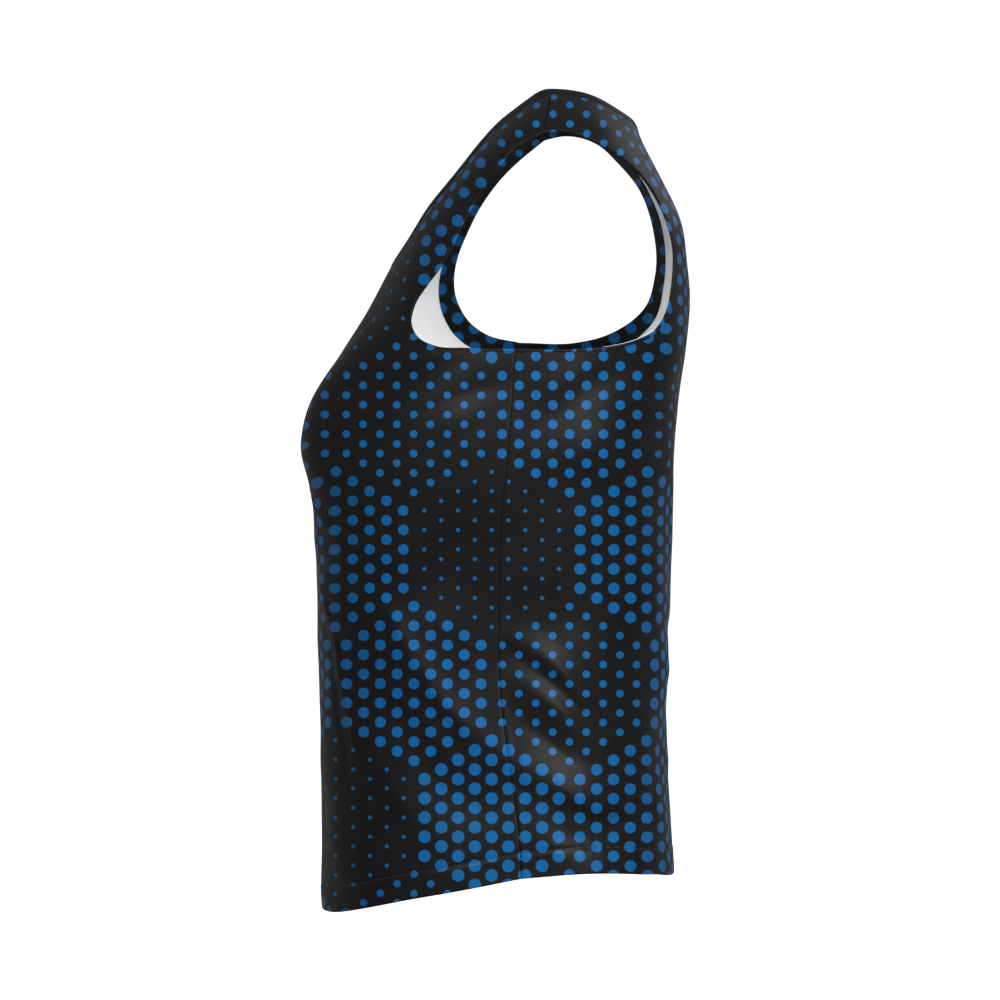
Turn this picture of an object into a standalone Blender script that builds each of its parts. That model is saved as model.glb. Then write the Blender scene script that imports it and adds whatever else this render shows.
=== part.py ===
"""A women's sleeveless cheerleading shell top, filled out as when worn and held up at its shoulders.

Front and back panels of printed knit meet at the side and shoulder seams, a folded black band stands
round the neck, and a strip is turned in round each armhole. +X is the wearer's left, -Y the front and
+Z up. The origin lies midway between the shoulder straps, at the height of their middles.
"""

import bmesh
import bpy
import numpy as np
from mathutils.bvhtree import BVHTree

# Cloth and seams, in metres
CLOTH = 0.0016              # wall of a panel
SEAM_GAP = 0.0003           # between one piece and the next

# Level sections of the filled-out top. Columns: height, half breadth, y of the side seam,
# y of the centre front, y of the centre back, fullness of the front and of the back curve.
HEIGHT, HALF_BREADTH, SEAM_Y, FRONT_Y, BACK_Y, FRONT_FULL, BACK_FULL = range(7)
SECTIONS = np.array([
    (-0.640, 0.1735, -0.0148, -0.1722, 0.1040, 2.50, 2.60),
    (-0.590, 0.1715, -0.0150, -0.1726, 0.1022, 2.50, 2.60),
    (-0.540, 0.1675, -0.0170, -0.1731, 0.0994, 2.50, 2.60),
    (-0.480, 0.1610, -0.0253, -0.1737, 0.0960, 2.50, 2.60),
    (-0.420, 0.1560, -0.0322, -0.1750, 0.0974, 2.50, 2.60),
    (-0.350, 0.1560, -0.0323, -0.1768, 0.0995, 2.50, 2.60),
    (-0.300, 0.1605, -0.0305, -0.1768, 0.1005, 2.45, 2.65),
    (-0.250, 0.1650, -0.0253, -0.1755, 0.1022, 2.40, 2.70),
    (-0.215, 0.1640, -0.0228, -0.1705, 0.1050, 2.35, 2.80),
    (-0.180, 0.1610, -0.0206, -0.1545, 0.1100, 2.30, 2.90),
    (-0.150, 0.1580, -0.0180, -0.1365, 0.1127, 2.25, 3.05),
    (-0.118, 0.1560, -0.0140, -0.1200, 0.1114, 2.18, 3.10),
    (-0.090, 0.1550, -0.0100, -0.1040, 0.1082, 2.15, 3.10),
    (-0.060, 0.1520, -0.0060, -0.0850, 0.0977, 2.10, 2.85),
    (-0.036, 0.1480, -0.0030, -0.0668, 0.0858, 2.10, 2.60),
    (-0.018, 0.1375, 0.0000, -0.0512, 0.0762, 2.10, 2.40),
    (-0.005, 0.1240, 0.0020, -0.0390, 0.0700, 2.10, 2.35),
    (0.006, 0.1040, 0.0040, -0.0265, 0.0605, 2.10, 2.30),
    (0.014, 0.0860, 0.0050, -0.0165, 0.0510, 2.10, 2.30),
    (0.022, 0.0620, 0.0060, -0.0080, 0.0400, 2.10, 2.30),
])

# The bust's fullness: a soft mound on each side of the front
BUST_X, BUST_Z = 0.076, -0.247
BUST_DEPTH = 0.0195
BUST_ACROSS, BUST_ABOVE, BUST_BELOW = 0.054, 0.062, 0.040

# Hem. Columns: share of the way from the side seam to the centre, height
HEM = {
    "front": [(0.00, -0.5695), (0.12, -0.5732), (0.35, -0.5808), (0.58, -0.5892), (0.80, -0.6000),
              (1.00, -0.6120)],
    "back": [(0.00, -0.5695), (0.15, -0.5682), (0.30, -0.5670), (0.45, -0.5668), (0.60, -0.5680),
             (0.76, -0.5714), (0.92, -0.5775), (1.00, -0.5840)],
}

# Neck opening of the panels, seen from above: an oval that is longer in front
NECK_HALF, NECK_MID_Y = 0.0790, 0.004
NECK_FRONT_Y, NECK_BACK_Y = -0.1190, 0.0740
NECK_FRONT_FULL, NECK_BACK_FULL = 2.45, 2.30

# Armholes seen from the side, from the shoulder seam to the side seam. Columns: y, height.
# The left one is pulled square at its lower front corner; the right one hangs rounder.
ARMHOLES = {
    ("front", "left"): [(0.0000, -0.0125), (-0.0209, -0.0245), (-0.0353, -0.0420), (-0.0472, -0.0580),
                        (-0.0600, -0.0795), (-0.0766, -0.1119), (-0.0873, -0.1270), (-0.0970, -0.1430),
                        (-0.0990, -0.1555), (-0.0935, -0.1665), (-0.0810, -0.1728), (-0.0560, -0.1743),
                        (-0.0206, -0.1750)],
    ("back", "left"): [(0.0000, -0.0125), (0.0180, -0.0115), (0.0309, -0.0155), (0.0583, -0.0304),
                       (0.0743, -0.0447), (0.0910, -0.0700), (0.0990, -0.0968), (0.0995, -0.1200),
                       (0.0955, -0.1446), (0.0826, -0.1635), (0.0600, -0.1720), (0.0300, -0.1748),
                       (-0.0206, -0.1750)],
    ("front", "right"): [(0.0000, -0.0125), (-0.0177, -0.0264), (-0.0378, -0.0465), (-0.0519, -0.0651),
                         (-0.0635, -0.0866), (-0.0706, -0.1036), (-0.0740, -0.1230), (-0.0725, -0.1420),
                         (-0.0640, -0.1590), (-0.0480, -0.1715), (-0.0206, -0.1785)],
    ("back", "right"): [(0.0000, -0.0125), (0.0167, -0.0095), (0.0458, -0.0180), (0.0610, -0.0326),
                        (0.0780, -0.0544), (0.0880, -0.0800), (0.0910, -0.1035), (0.0900, -0.1236),
                        (0.0840, -0.1460), (0.0730, -0.1590), (0.0540, -0.1710), (0.0250, -0.1785),
                        (-0.0206, -0.1785)],
}
SIDES = {"left": 1.0, "right": -1.0}

# Largest folds. Columns: side, (y, height) of three points along it, width, depth (+ is a ridge).
FOLDS = [
    ("left", (-0.050, -0.189), (-0.105, -0.200), (-0.150, -0.212), 0.013, -0.0030),
    ("left", (-0.022, -0.198), (-0.068, -0.212), (-0.105, -0.232), 0.014, -0.0026),
    ("left", (-0.125, -0.385), (-0.096, -0.425), (-0.056, -0.478), 0.022, 0.0040),
    ("left", (-0.128, -0.430), (-0.095, -0.470), (-0.062, -0.512), 0.020, -0.0030),
    ("left", (0.075, -0.190), (0.036, -0.208), (0.000, -0.236), 0.015, -0.0030),
    ("left", (-0.020, -0.387), (0.014, -0.412), (0.048, -0.464), 0.013, 0.0034),
    ("left", (-0.022, -0.425), (0.010, -0.446), (0.032, -0.474), 0.012, 0.0028),
    ("left", (-0.004, -0.508), (0.036, -0.538), (0.086, -0.520), 0.014, -0.0034),
    ("right", (-0.048, -0.192), (-0.098, -0.204), (-0.144, -0.222), 0.014, -0.0028),
    ("right", (-0.115, -0.370), (-0.088, -0.420), (-0.052, -0.458), 0.022, 0.0036),
    ("right", (-0.130, -0.445), (-0.100, -0.482), (-0.070, -0.530), 0.019, -0.0028),
    ("right", (0.070, -0.196), (0.034, -0.218), (0.004, -0.246), 0.015, -0.0026),
    ("right", (-0.016, -0.398), (0.018, -0.424), (0.054, -0.452), 0.014, 0.0032),
    ("right", (0.002, -0.520), (0.040, -0.542), (0.082, -0.512), 0.014, -0.0030),
]
FOLD_FREE = 0.030           # half breadth of the strip along the centre lines where the folds fade out

# Grid of each half panel. Columns: rows up to here, place on the inner edge, place on the outer edge.
# The inner edge is 0 to 1 up the centre line and 1 to 2 round the neck; the outer edge is 0 to 1
# up the side seam and 1 to 2 round the armhole. A narrow row or column lies along each sewn edge.
GRID_ROWS = {
    "front": [(0, 0.00, 0.00), (20, 0.84, 1.00), (31, 1.00, 1.42), (45, 1.98, 1.98), (46, 2.00, 2.00)],
    "back": [(0, 0.00, 0.00), (20, 0.70, 1.00), (36, 1.00, 1.62), (46, 1.97, 1.98), (47, 2.00, 2.00)],
}
ARMPIT_ROW = 20
NECK_ROW = {"front": 31, "back": 36}
GRID_COLUMNS = np.concatenate([[0.0], np.linspace(0.03, 0.975, 14), [1.0]])

# Neck band: cloth folded double. Columns: share of its width up from the neck edge, depth below the
# panel's outer face. It leans in from the cloth by an angle that changes round the neck.
BAND_WIDTH = 0.0080
BAND_PROFILE = [(0.00, 0.0000), (0.40, -0.0003), (0.80, -0.0001), (0.96, 0.0006), (1.00, 0.0013),
                (0.95, 0.0021), (0.80, 0.0026), (0.40, 0.0025), (0.00, 0.0022)]
BAND_LEAN_Y = (-0.119, -0.060, 0.004, 0.074)
BAND_LEAN = (0.03, 0.20, 0.38, 0.12)       # radians

# Armhole facing: columns: share of its width from the armhole's edge, depth below the outer face
FACING_WIDTH = 0.0150
FACING_PROFILE = [(0.0, 0.0021), (0.5, 0.0029), (1.0, 0.0034), (1.0, 0.0046), (0.5, 0.0041), (0.0, 0.0033)]

BLACK_KNIT = (0.018, 0.018, 0.019, 1.0)
PRINTED_KNIT = (0.016, 0.060, 0.110, 1.0)
QUARTER_TURN = np.pi / 2


def curve_through(knots, values, at):
    """A cubic through the knots: each knot's slope comes from its neighbours, so the curve has no corners."""
    knots, values, at = np.asarray(knots), np.asarray(values), np.asarray(at, float)
    slopes = np.gradient(values, knots)
    i = np.clip(np.searchsorted(knots, at, side="right") - 1, 0, len(knots) - 2)
    step = knots[i + 1] - knots[i]
    f = (at - knots[i]) / step
    return (values[i] * (1 + 2 * f) * (1 - f) ** 2 + values[i + 1] * f * f * (3 - 2 * f)
            + step * (slopes[i] * f * (1 - f) ** 2 + slopes[i + 1] * f * f * (f - 1)))


def section(column, z):
    """One column of SECTIONS at height z."""
    heights = SECTIONS[:, HEIGHT]
    return curve_through(heights, SECTIONS[:, column], np.clip(z, heights[0], heights[-1]))


def half_section(panel, z):
    """Half breadth, y of the side seam, reach in y to the panel's centre and fullness, at height z."""
    reach = section(FRONT_Y if panel == "front" else BACK_Y, z) - section(SEAM_Y, z)
    full = section(FRONT_FULL if panel == "front" else BACK_FULL, z)
    return section(HALF_BREADTH, z), section(SEAM_Y, z), reach, full


def angle_round(panel, x, y, z):
    """Angle round the section, 0 at the side seam and a quarter turn at the centre, on the way to (x, y)."""
    breadth, seam_y, reach, full = half_section(panel, z)
    forward = np.clip((y - seam_y) / reach, 0, None) ** (full / 2)
    return np.arctan2(forward, np.clip(x / breadth, 0, None) ** (full / 2))


def angle_at_y(panel, y, z):
    """The same angle for the section's point at y."""
    _, seam_y, reach, full = half_section(panel, z)
    return np.arcsin(np.clip((y - seam_y) / reach, 0, 1) ** (full / 2))


def height_over(panel, x, y):
    """Height of the shoulders over a plan point, halved down between two levels that hold it."""
    low, high = np.full_like(x, -0.150), np.full_like(x, 0.0219)
    for _ in range(40):
        z = (low + high) / 2
        breadth, seam_y, reach, full = half_section(panel, z)
        outside = (x / breadth) ** full + np.clip((y - seam_y) / reach, 0, None) ** full > 1
        low, high = np.where(outside, low, z), np.where(outside, z, high)
    return (low + high) / 2


def distance_to_bend(y, z, first, middle, last):
    """Distance from (y, z) to the bend through three points, and the place along it from 0 to 1."""
    nearest, place = np.full_like(y, 9.0), np.zeros_like(y)
    for s in np.linspace(0, 1, 25):
        bend = ((1 - s) * (1 - 2 * s), 4 * s * (1 - s), s * (2 * s - 1))
        bend_y = bend[0] * first[0] + bend[1] * middle[0] + bend[2] * last[0]
        bend_z = bend[0] * first[1] + bend[1] * middle[1] + bend[2] * last[1]
        distance = np.hypot(y - bend_y, z - bend_z)
        place = np.where(distance < nearest, s, place)
        nearest = np.minimum(distance, nearest)
    return nearest, place


def fold_height(side, x, y, z):
    """How far the largest folds raise or sink the cloth: soft troughs and ridges, faded at their ends."""
    total = np.zeros_like(y)
    for fold_side, first, middle, last, width, depth in FOLDS:
        if fold_side == side:
            distance, place = distance_to_bend(y, z, first, middle, last)
            total += depth * np.exp(-(distance / width) ** 2) * (0.35 + 0.65 * np.sin(np.pi * place))
    return total * (1 - np.exp(-(x / FOLD_FREE) ** 2))


def on_form(panel, side, angle, z):
    """Points of the filled-out top at the given angles and heights, with the bust and the folds on it."""
    breadth, seam_y, reach, full = half_section(panel, z)
    x = breadth * np.cos(angle) ** (2 / full)
    y = seam_y + reach * np.sin(angle) ** (2 / full)
    slope_x = (x / breadth) ** (full - 1) / breadth
    slope_y = ((y - seam_y) / reach) ** (full - 1) / reach
    raised = fold_height(side, x, y, z) / np.hypot(slope_x, slope_y)
    x, y = x + raised * slope_x, y + raised * slope_y
    if panel == "front":
        spread = np.where(z > BUST_Z, BUST_ABOVE, BUST_BELOW)
        mound = np.exp(-((x - BUST_X) / BUST_ACROSS) ** 2 - ((z - BUST_Z) / spread) ** 2)
        y = y - BUST_DEPTH * mound * np.sin(angle) ** 2
    return np.stack([SIDES[side] * x, y, z], axis=-1)


def unit(vectors):
    return vectors / np.linalg.norm(vectors, axis=-1, keepdims=True)


def outward(panel, side, angle, z):
    """Directions straight out of the form, square to its slopes round the section and up."""
    turn, rise = 0.002, 0.0005
    round_section = (on_form(panel, side, np.clip(angle + turn, 0, QUARTER_TURN), z)
                     - on_form(panel, side, np.clip(angle - turn, 0, QUARTER_TURN), z))
    upward = on_form(panel, side, angle, z + rise) - on_form(panel, side, angle, z - rise)
    normal = unit(np.cross(round_section, upward))
    return normal * (SIDES[side] if panel == "back" else -SIDES[side])


def spaced(points, count=201):
    """Places evenly spaced along a line of (angle, height) points, as if on a cylinder of the top's size."""
    steps = np.hypot(0.16 * np.diff(points[:, 0]), np.diff(points[:, 1]))
    run = np.concatenate([[0], np.cumsum(steps)])
    at = np.linspace(0, run[-1], count)
    return np.stack([np.interp(at, run, points[:, 0]), np.interp(at, run, points[:, 1])], axis=-1)


def armhole_edge(panel, side):
    """(angle, height) along the armhole, from the side seam up to the shoulder seam."""
    outline = np.array(ARMHOLES[panel, side][::-1])
    run = np.concatenate([[0], np.cumsum(np.hypot(*np.diff(outline, axis=0).T))])
    at = np.linspace(0, run[-1], 241)
    y, z = curve_through(run, outline[:, 0], at), curve_through(run, outline[:, 1], at)
    angle = angle_at_y(panel, y, z)
    angle[0] = angle[-1] = 0.0
    return spaced(np.stack([angle, z], axis=-1))


def neck_edge(panel):
    """(angle, height) along the neck, from the centre line up to the shoulder seam."""
    reach = (NECK_FRONT_Y if panel == "front" else NECK_BACK_Y) - NECK_MID_Y
    full = NECK_FRONT_FULL if panel == "front" else NECK_BACK_FULL
    turn = np.linspace(0, QUARTER_TURN, 241)
    x = NECK_HALF * np.sin(turn) ** (2 / full)
    y = NECK_MID_Y + reach * np.cos(turn) ** (2 / full)
    z = height_over(panel, x, y)
    angle = angle_round(panel, x, y, z)
    angle[0], angle[-1] = QUARTER_TURN, 0.0
    return spaced(np.stack([angle, z], axis=-1))


def hem_height(panel, angle):
    """Height of the hem at each angle: it drops in a curve from the side seam to the centre."""
    _, _, _, full = half_section(panel, HEM[panel][0][1])
    share, height = np.array(HEM[panel]).T
    return curve_through(share, height, np.sin(angle) ** (2 / full))


def along(edge, place):
    """(angle, height) at places from 0 to 1 along an edge."""
    at = np.linspace(0, 1, len(edge))
    return np.stack([np.interp(place, at, edge[:, 0]), np.interp(place, at, edge[:, 1])], axis=-1)


def half_panel(panel, side):
    """Angles and heights of half a panel's grid: rows from hem to shoulder, columns from the centre out."""
    rows, inner, outer = np.array(GRID_ROWS[panel]).T
    row = np.arange(rows[-1] + 1)
    inner, outer = np.interp(row, rows, inner), np.interp(row, rows, outer)
    neck, armhole = neck_edge(panel), armhole_edge(panel, side)
    seam_hem, centre_hem = hem_height(panel, np.array([0.0, QUARTER_TURN]))
    centre_z = centre_hem + (neck[0, 1] - centre_hem) * inner
    seam_z = seam_hem + (armhole[0, 1] - seam_hem) * outer
    centre = np.stack([np.full_like(inner, QUARTER_TURN), centre_z], axis=-1)
    seam = np.stack([np.zeros_like(outer), seam_z], axis=-1)
    inner_edge = np.where(inner[:, None] <= 1, centre, along(neck, inner - 1))
    outer_edge = np.where(outer[:, None] <= 1, seam, along(armhole, outer - 1))
    across = GRID_COLUMNS[None, :, None]
    grid = inner_edge[:, None] * (1 - across) + outer_edge[:, None] * across
    angle, z = grid[..., 0], grid[..., 1]
    hem_change = hem_height(panel, angle[0]) - z[0]
    fade = np.clip(1 - row / ARMPIT_ROW, 0, 1)[:, None]
    return angle, z + hem_change[None, :] * fade


def drawn_back(edge, inside):
    """An edge line moved half a seam gap towards the line inside it."""
    return edge + unit(inside - edge) * SEAM_GAP / 2


def loop_of(lines):
    """Lines joined end to end into a closed loop; where two meet they share their midpoint."""
    parts = [np.concatenate([[(before[-1] + line[0]) / 2], line[1:-1]])
             for before, line in zip(lines[-1:] + lines[:-1], lines)]
    return np.concatenate(parts)


def edge_loop(pieces):
    """Closed loop of panel points and outward directions. Columns: panel, side, rows, column, reversed."""
    points, normals = [], []
    for panel, side, rows, column, turned in pieces:
        angle, z = half_panel(panel, side)
        line = (angle[rows, column], z[rows, column])
        order = slice(None, None, -1 if turned else 1)
        points.append(on_form(panel, side, *line)[order])
        normals.append(outward(panel, side, *line)[order])
    return loop_of(points), unit(loop_of(normals))


def across_edge(points, normals):
    """Directions in the cloth, square to the loop and pointing into the opening that it bounds."""
    run = unit(np.roll(points, -1, axis=0) - np.roll(points, 1, axis=0))
    across = unit(np.cross(run, normals))
    inward = np.sum(across * (points.mean(axis=0) - points), axis=-1).mean()
    return across * np.sign(inward)


def closed_ring(lines):
    """A closed body whose surface runs through closed lines of points, from each line to the next."""
    work = bmesh.new()
    rings = [[work.verts.new(p) for p in line] for line in lines]
    count = len(rings[0])
    for ring, after in zip(rings, rings[1:] + rings[:1]):
        for i in range(count):
            j = (i + 1) % count
            work.faces.new([ring[i], ring[j], after[j], after[i]])
    bmesh.ops.recalc_face_normals(work, faces=work.faces)
    return work


def open_sheet(grids):
    """Grids of points as one sheet, welded where their points meet and facing out."""
    work = bmesh.new()
    for points, turned in grids:
        verts = [[work.verts.new(p) for p in line] for line in points]
        for low, high in zip(verts, verts[1:]):
            for c in range(len(low) - 1):
                corners = [low[c], low[c + 1], high[c + 1], high[c]]
                work.faces.new(corners[::-1] if turned else corners)
    bmesh.ops.remove_doubles(work, verts=work.verts, dist=0.00002)
    return work


def add_piece(name, work, colour, roughness):
    """Puts a worked mesh in the collection as a named object with its own material."""
    mesh = bpy.data.meshes.new(name)
    work.to_mesh(mesh)
    work.free()
    mesh.shade_smooth()
    piece = bpy.data.objects.new(name, mesh)
    collection.objects.link(piece)
    material = bpy.data.materials.new(name)
    material.use_nodes = True
    shader = material.node_tree.nodes["Principled BSDF"]
    shader.inputs["Base Color"].default_value = colour
    shader.inputs["Roughness"].default_value = roughness
    shader.inputs["Metallic"].default_value = 0.0
    mesh.materials.append(material)
    return piece


def make_panel(panel):
    """A panel is an open sheet of cloth, drawn back from its seams and given its wall inwards."""
    grids = []
    for side, sign in SIDES.items():
        points = on_form(panel, side, *half_panel(panel, side))
        seam = slice(0, ARMPIT_ROW + 1)
        points[seam, -1] = drawn_back(points[seam, -1], points[seam, -2])
        points[-1] = drawn_back(points[-1], points[-2])
        grids.append((points, (sign > 0) == (panel == "back")))
    piece = add_piece(panel + "_panel", open_sheet(grids), PRINTED_KNIT, 0.8)
    wall = piece.modifiers.new("wall", "SOLIDIFY")
    wall.thickness = CLOTH
    wall.offset = -1.0
    wall.use_even_offset = False


def make_neck_band():
    """The band stands on the neck edge of both panels, a seam gap away, leaning in from the cloth."""
    front, back = slice(NECK_ROW["front"], None), slice(NECK_ROW["back"], None)
    points, normals = edge_loop([("front", "left", front, 0, False), ("back", "left", back, 0, True),
                                 ("back", "right", back, 0, False), ("front", "right", front, 0, True)])
    across = across_edge(points, normals)
    lean = np.interp(points[:, 1], BAND_LEAN_Y, BAND_LEAN)[:, None]
    up = across * np.cos(lean) + normals * np.sin(lean)
    out = normals * np.cos(lean) - across * np.sin(lean)
    lines = [points + across * SEAM_GAP + up * share * BAND_WIDTH - out * depth
             for share, depth in BAND_PROFILE]
    add_piece("neck_band", closed_ring(lines), BLACK_KNIT, 0.85)


def panel_faces():
    """The outer faces of both panels, ready to be asked for the point nearest to another."""
    corners, faces = [], []
    for panel in HEM:
        mesh = bpy.data.objects[panel + "_panel"].data
        faces += [[len(corners) + v for v in face.vertices] for face in mesh.polygons]
        corners += [vertex.co.copy() for vertex in mesh.vertices]
    return BVHTree.FromPolygons(corners, faces)


def make_facing(side):
    """A facing lies on the inside of both panels round an armhole, made from the panels' own faces."""
    rows = slice(ARMPIT_ROW, None)
    points, normals = edge_loop([("front", side, rows, -1, False), ("back", side, rows, -1, True)])
    away = -across_edge(points, normals)
    cloth = panel_faces()
    lines = []
    for share, depth in FACING_PROFILE:
        reached = points + away * share * FACING_WIDTH
        x, y, z = SIDES[side] * reached[:, 0], reached[:, 1], reached[:, 2]
        in_front = (y < section(SEAM_Y, z))[:, None]
        normal = np.where(in_front, outward("front", side, angle_round("front", x, y, z), z),
                          outward("back", side, angle_round("back", x, y, z), z))
        nearest = np.array([cloth.find_nearest(point)[0] for point in reached])
        lines.append(nearest - normal * depth)
    add_piece("armhole_facing_" + side, closed_ring(lines), PRINTED_KNIT, 0.8)


for leftover in list(bpy.data.objects):
    bpy.data.objects.remove(leftover)
collection = bpy.data.collections.new("cheerleading_shell_top")
bpy.context.scene.collection.children.link(collection)

make_panel("front")
make_panel("back")
make_neck_band()
for facing_side in SIDES:
    make_facing(facing_side)
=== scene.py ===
"""A women's sleeveless cheerleading shell top, filled out as when worn and held up at its shoulders.

Near-black sports knit with a print of blue dots, a folded black band round the neck, and cloth turned in
at the armholes and along the hem. Metres; +X is the wearer's left, -Y the front and +Z up.
"""

import bpy
import numpy as np
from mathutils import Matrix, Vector


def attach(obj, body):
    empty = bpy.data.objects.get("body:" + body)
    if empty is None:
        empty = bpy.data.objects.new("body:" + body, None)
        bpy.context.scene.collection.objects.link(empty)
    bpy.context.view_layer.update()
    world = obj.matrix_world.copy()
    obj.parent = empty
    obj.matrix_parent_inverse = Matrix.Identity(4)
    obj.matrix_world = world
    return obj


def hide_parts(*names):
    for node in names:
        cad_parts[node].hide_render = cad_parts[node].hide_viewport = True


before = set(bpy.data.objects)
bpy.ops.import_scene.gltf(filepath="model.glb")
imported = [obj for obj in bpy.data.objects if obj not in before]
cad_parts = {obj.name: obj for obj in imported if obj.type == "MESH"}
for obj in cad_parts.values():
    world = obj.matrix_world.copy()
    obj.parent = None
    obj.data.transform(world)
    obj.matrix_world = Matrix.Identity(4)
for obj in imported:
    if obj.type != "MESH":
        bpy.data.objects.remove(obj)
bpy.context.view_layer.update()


# The front and back panels' shape
# --------------------------------
# Each panel is one piece of smooth polyester knit, sewn to the other at the sides and shoulders. They
# hang as filled out by a wearer: level sections give the form, and creases of their own lie on it.

QUARTER_TURN = np.pi / 2
MM = 0.001

# Level sections of the filled-out top. Columns: height, half breadth, y of the side seam,
# y of the centre front, y of the centre back, fullness of the front and of the back curve.
HEIGHT, HALF_BREADTH, SEAM_Y, FRONT_Y, BACK_Y, FRONT_FULL, BACK_FULL = range(7)
SECTIONS = np.array([
    (-0.640, 0.1735, -0.0148, -0.1722, 0.1040, 2.50, 2.60),
    (-0.590, 0.1715, -0.0150, -0.1726, 0.1022, 2.50, 2.60),
    (-0.540, 0.1675, -0.0170, -0.1731, 0.0994, 2.50, 2.60),
    (-0.480, 0.1610, -0.0253, -0.1737, 0.0960, 2.50, 2.60),
    (-0.420, 0.1560, -0.0322, -0.1750, 0.0974, 2.50, 2.60),
    (-0.350, 0.1560, -0.0323, -0.1768, 0.0995, 2.50, 2.60),
    (-0.300, 0.1605, -0.0305, -0.1768, 0.1005, 2.45, 2.65),
    (-0.250, 0.1650, -0.0253, -0.1755, 0.1022, 2.40, 2.70),
    (-0.215, 0.1640, -0.0228, -0.1705, 0.1050, 2.35, 2.80),
    (-0.180, 0.1610, -0.0206, -0.1545, 0.1100, 2.30, 2.90),
    (-0.150, 0.1580, -0.0180, -0.1365, 0.1127, 2.25, 3.05),
    (-0.118, 0.1560, -0.0140, -0.1200, 0.1114, 2.18, 3.10),
    (-0.090, 0.1550, -0.0100, -0.1040, 0.1082, 2.15, 3.10),
    (-0.060, 0.1520, -0.0060, -0.0850, 0.0977, 2.10, 2.85),
    (-0.036, 0.1480, -0.0030, -0.0668, 0.0858, 2.10, 2.60),
    (-0.018, 0.1375, 0.0000, -0.0512, 0.0762, 2.10, 2.40),
    (-0.005, 0.1240, 0.0020, -0.0390, 0.0700, 2.10, 2.35),
    (0.006, 0.1040, 0.0040, -0.0265, 0.0605, 2.10, 2.30),
    (0.014, 0.0860, 0.0050, -0.0165, 0.0510, 2.10, 2.30),
    (0.022, 0.0620, 0.0060, -0.0080, 0.0400, 2.10, 2.30),
])

# The bust's fullness: a soft mound on each side of the front
BUST_X, BUST_Z = 0.076, -0.247
BUST_DEPTH = 0.0195
BUST_ACROSS, BUST_ABOVE, BUST_BELOW = 0.054, 0.062, 0.040

# Hem. Columns: share of the way from the side seam to the centre, height
HEM = {
    "front": [(0.00, -0.5695), (0.12, -0.5732), (0.35, -0.5808), (0.58, -0.5892), (0.80, -0.6000),
              (1.00, -0.6120)],
    "back": [(0.00, -0.5695), (0.15, -0.5682), (0.30, -0.5670), (0.45, -0.5668), (0.60, -0.5680),
             (0.76, -0.5714), (0.92, -0.5775), (1.00, -0.5840)],
}

# Neck opening of the panels, seen from above: an oval that is longer in front
NECK_HALF, NECK_MID_Y = 0.0790, 0.004
NECK_FRONT_Y, NECK_BACK_Y = -0.1190, 0.0740
NECK_FRONT_FULL, NECK_BACK_FULL = 2.45, 2.30

# Armholes seen from the side, from the shoulder seam to the side seam. Columns: y, height.
# The left one is pulled square at its lower front corner; the right one hangs rounder.
ARMHOLES = {
    ("front", "left"): [(0.0000, -0.0125), (-0.0209, -0.0245), (-0.0353, -0.0420), (-0.0472, -0.0580),
                        (-0.0600, -0.0795), (-0.0766, -0.1119), (-0.0873, -0.1270), (-0.0970, -0.1430),
                        (-0.0990, -0.1555), (-0.0935, -0.1665), (-0.0810, -0.1728), (-0.0560, -0.1743),
                        (-0.0206, -0.1750)],
    ("back", "left"): [(0.0000, -0.0125), (0.0180, -0.0115), (0.0309, -0.0155), (0.0583, -0.0304),
                       (0.0743, -0.0447), (0.0910, -0.0700), (0.0990, -0.0968), (0.0995, -0.1200),
                       (0.0955, -0.1446), (0.0826, -0.1635), (0.0600, -0.1720), (0.0300, -0.1748),
                       (-0.0206, -0.1750)],
    ("front", "right"): [(0.0000, -0.0125), (-0.0177, -0.0264), (-0.0378, -0.0465), (-0.0519, -0.0651),
                         (-0.0635, -0.0866), (-0.0706, -0.1036), (-0.0740, -0.1230), (-0.0725, -0.1420),
                         (-0.0640, -0.1590), (-0.0480, -0.1715), (-0.0206, -0.1785)],
    ("back", "right"): [(0.0000, -0.0125), (0.0167, -0.0095), (0.0458, -0.0180), (0.0610, -0.0326),
                        (0.0780, -0.0544), (0.0880, -0.0800), (0.0910, -0.1035), (0.0900, -0.1236),
                        (0.0840, -0.1460), (0.0730, -0.1590), (0.0540, -0.1710), (0.0250, -0.1785),
                        (-0.0206, -0.1785)],
}
SIDES = {"left": 1.0, "right": -1.0}

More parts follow.
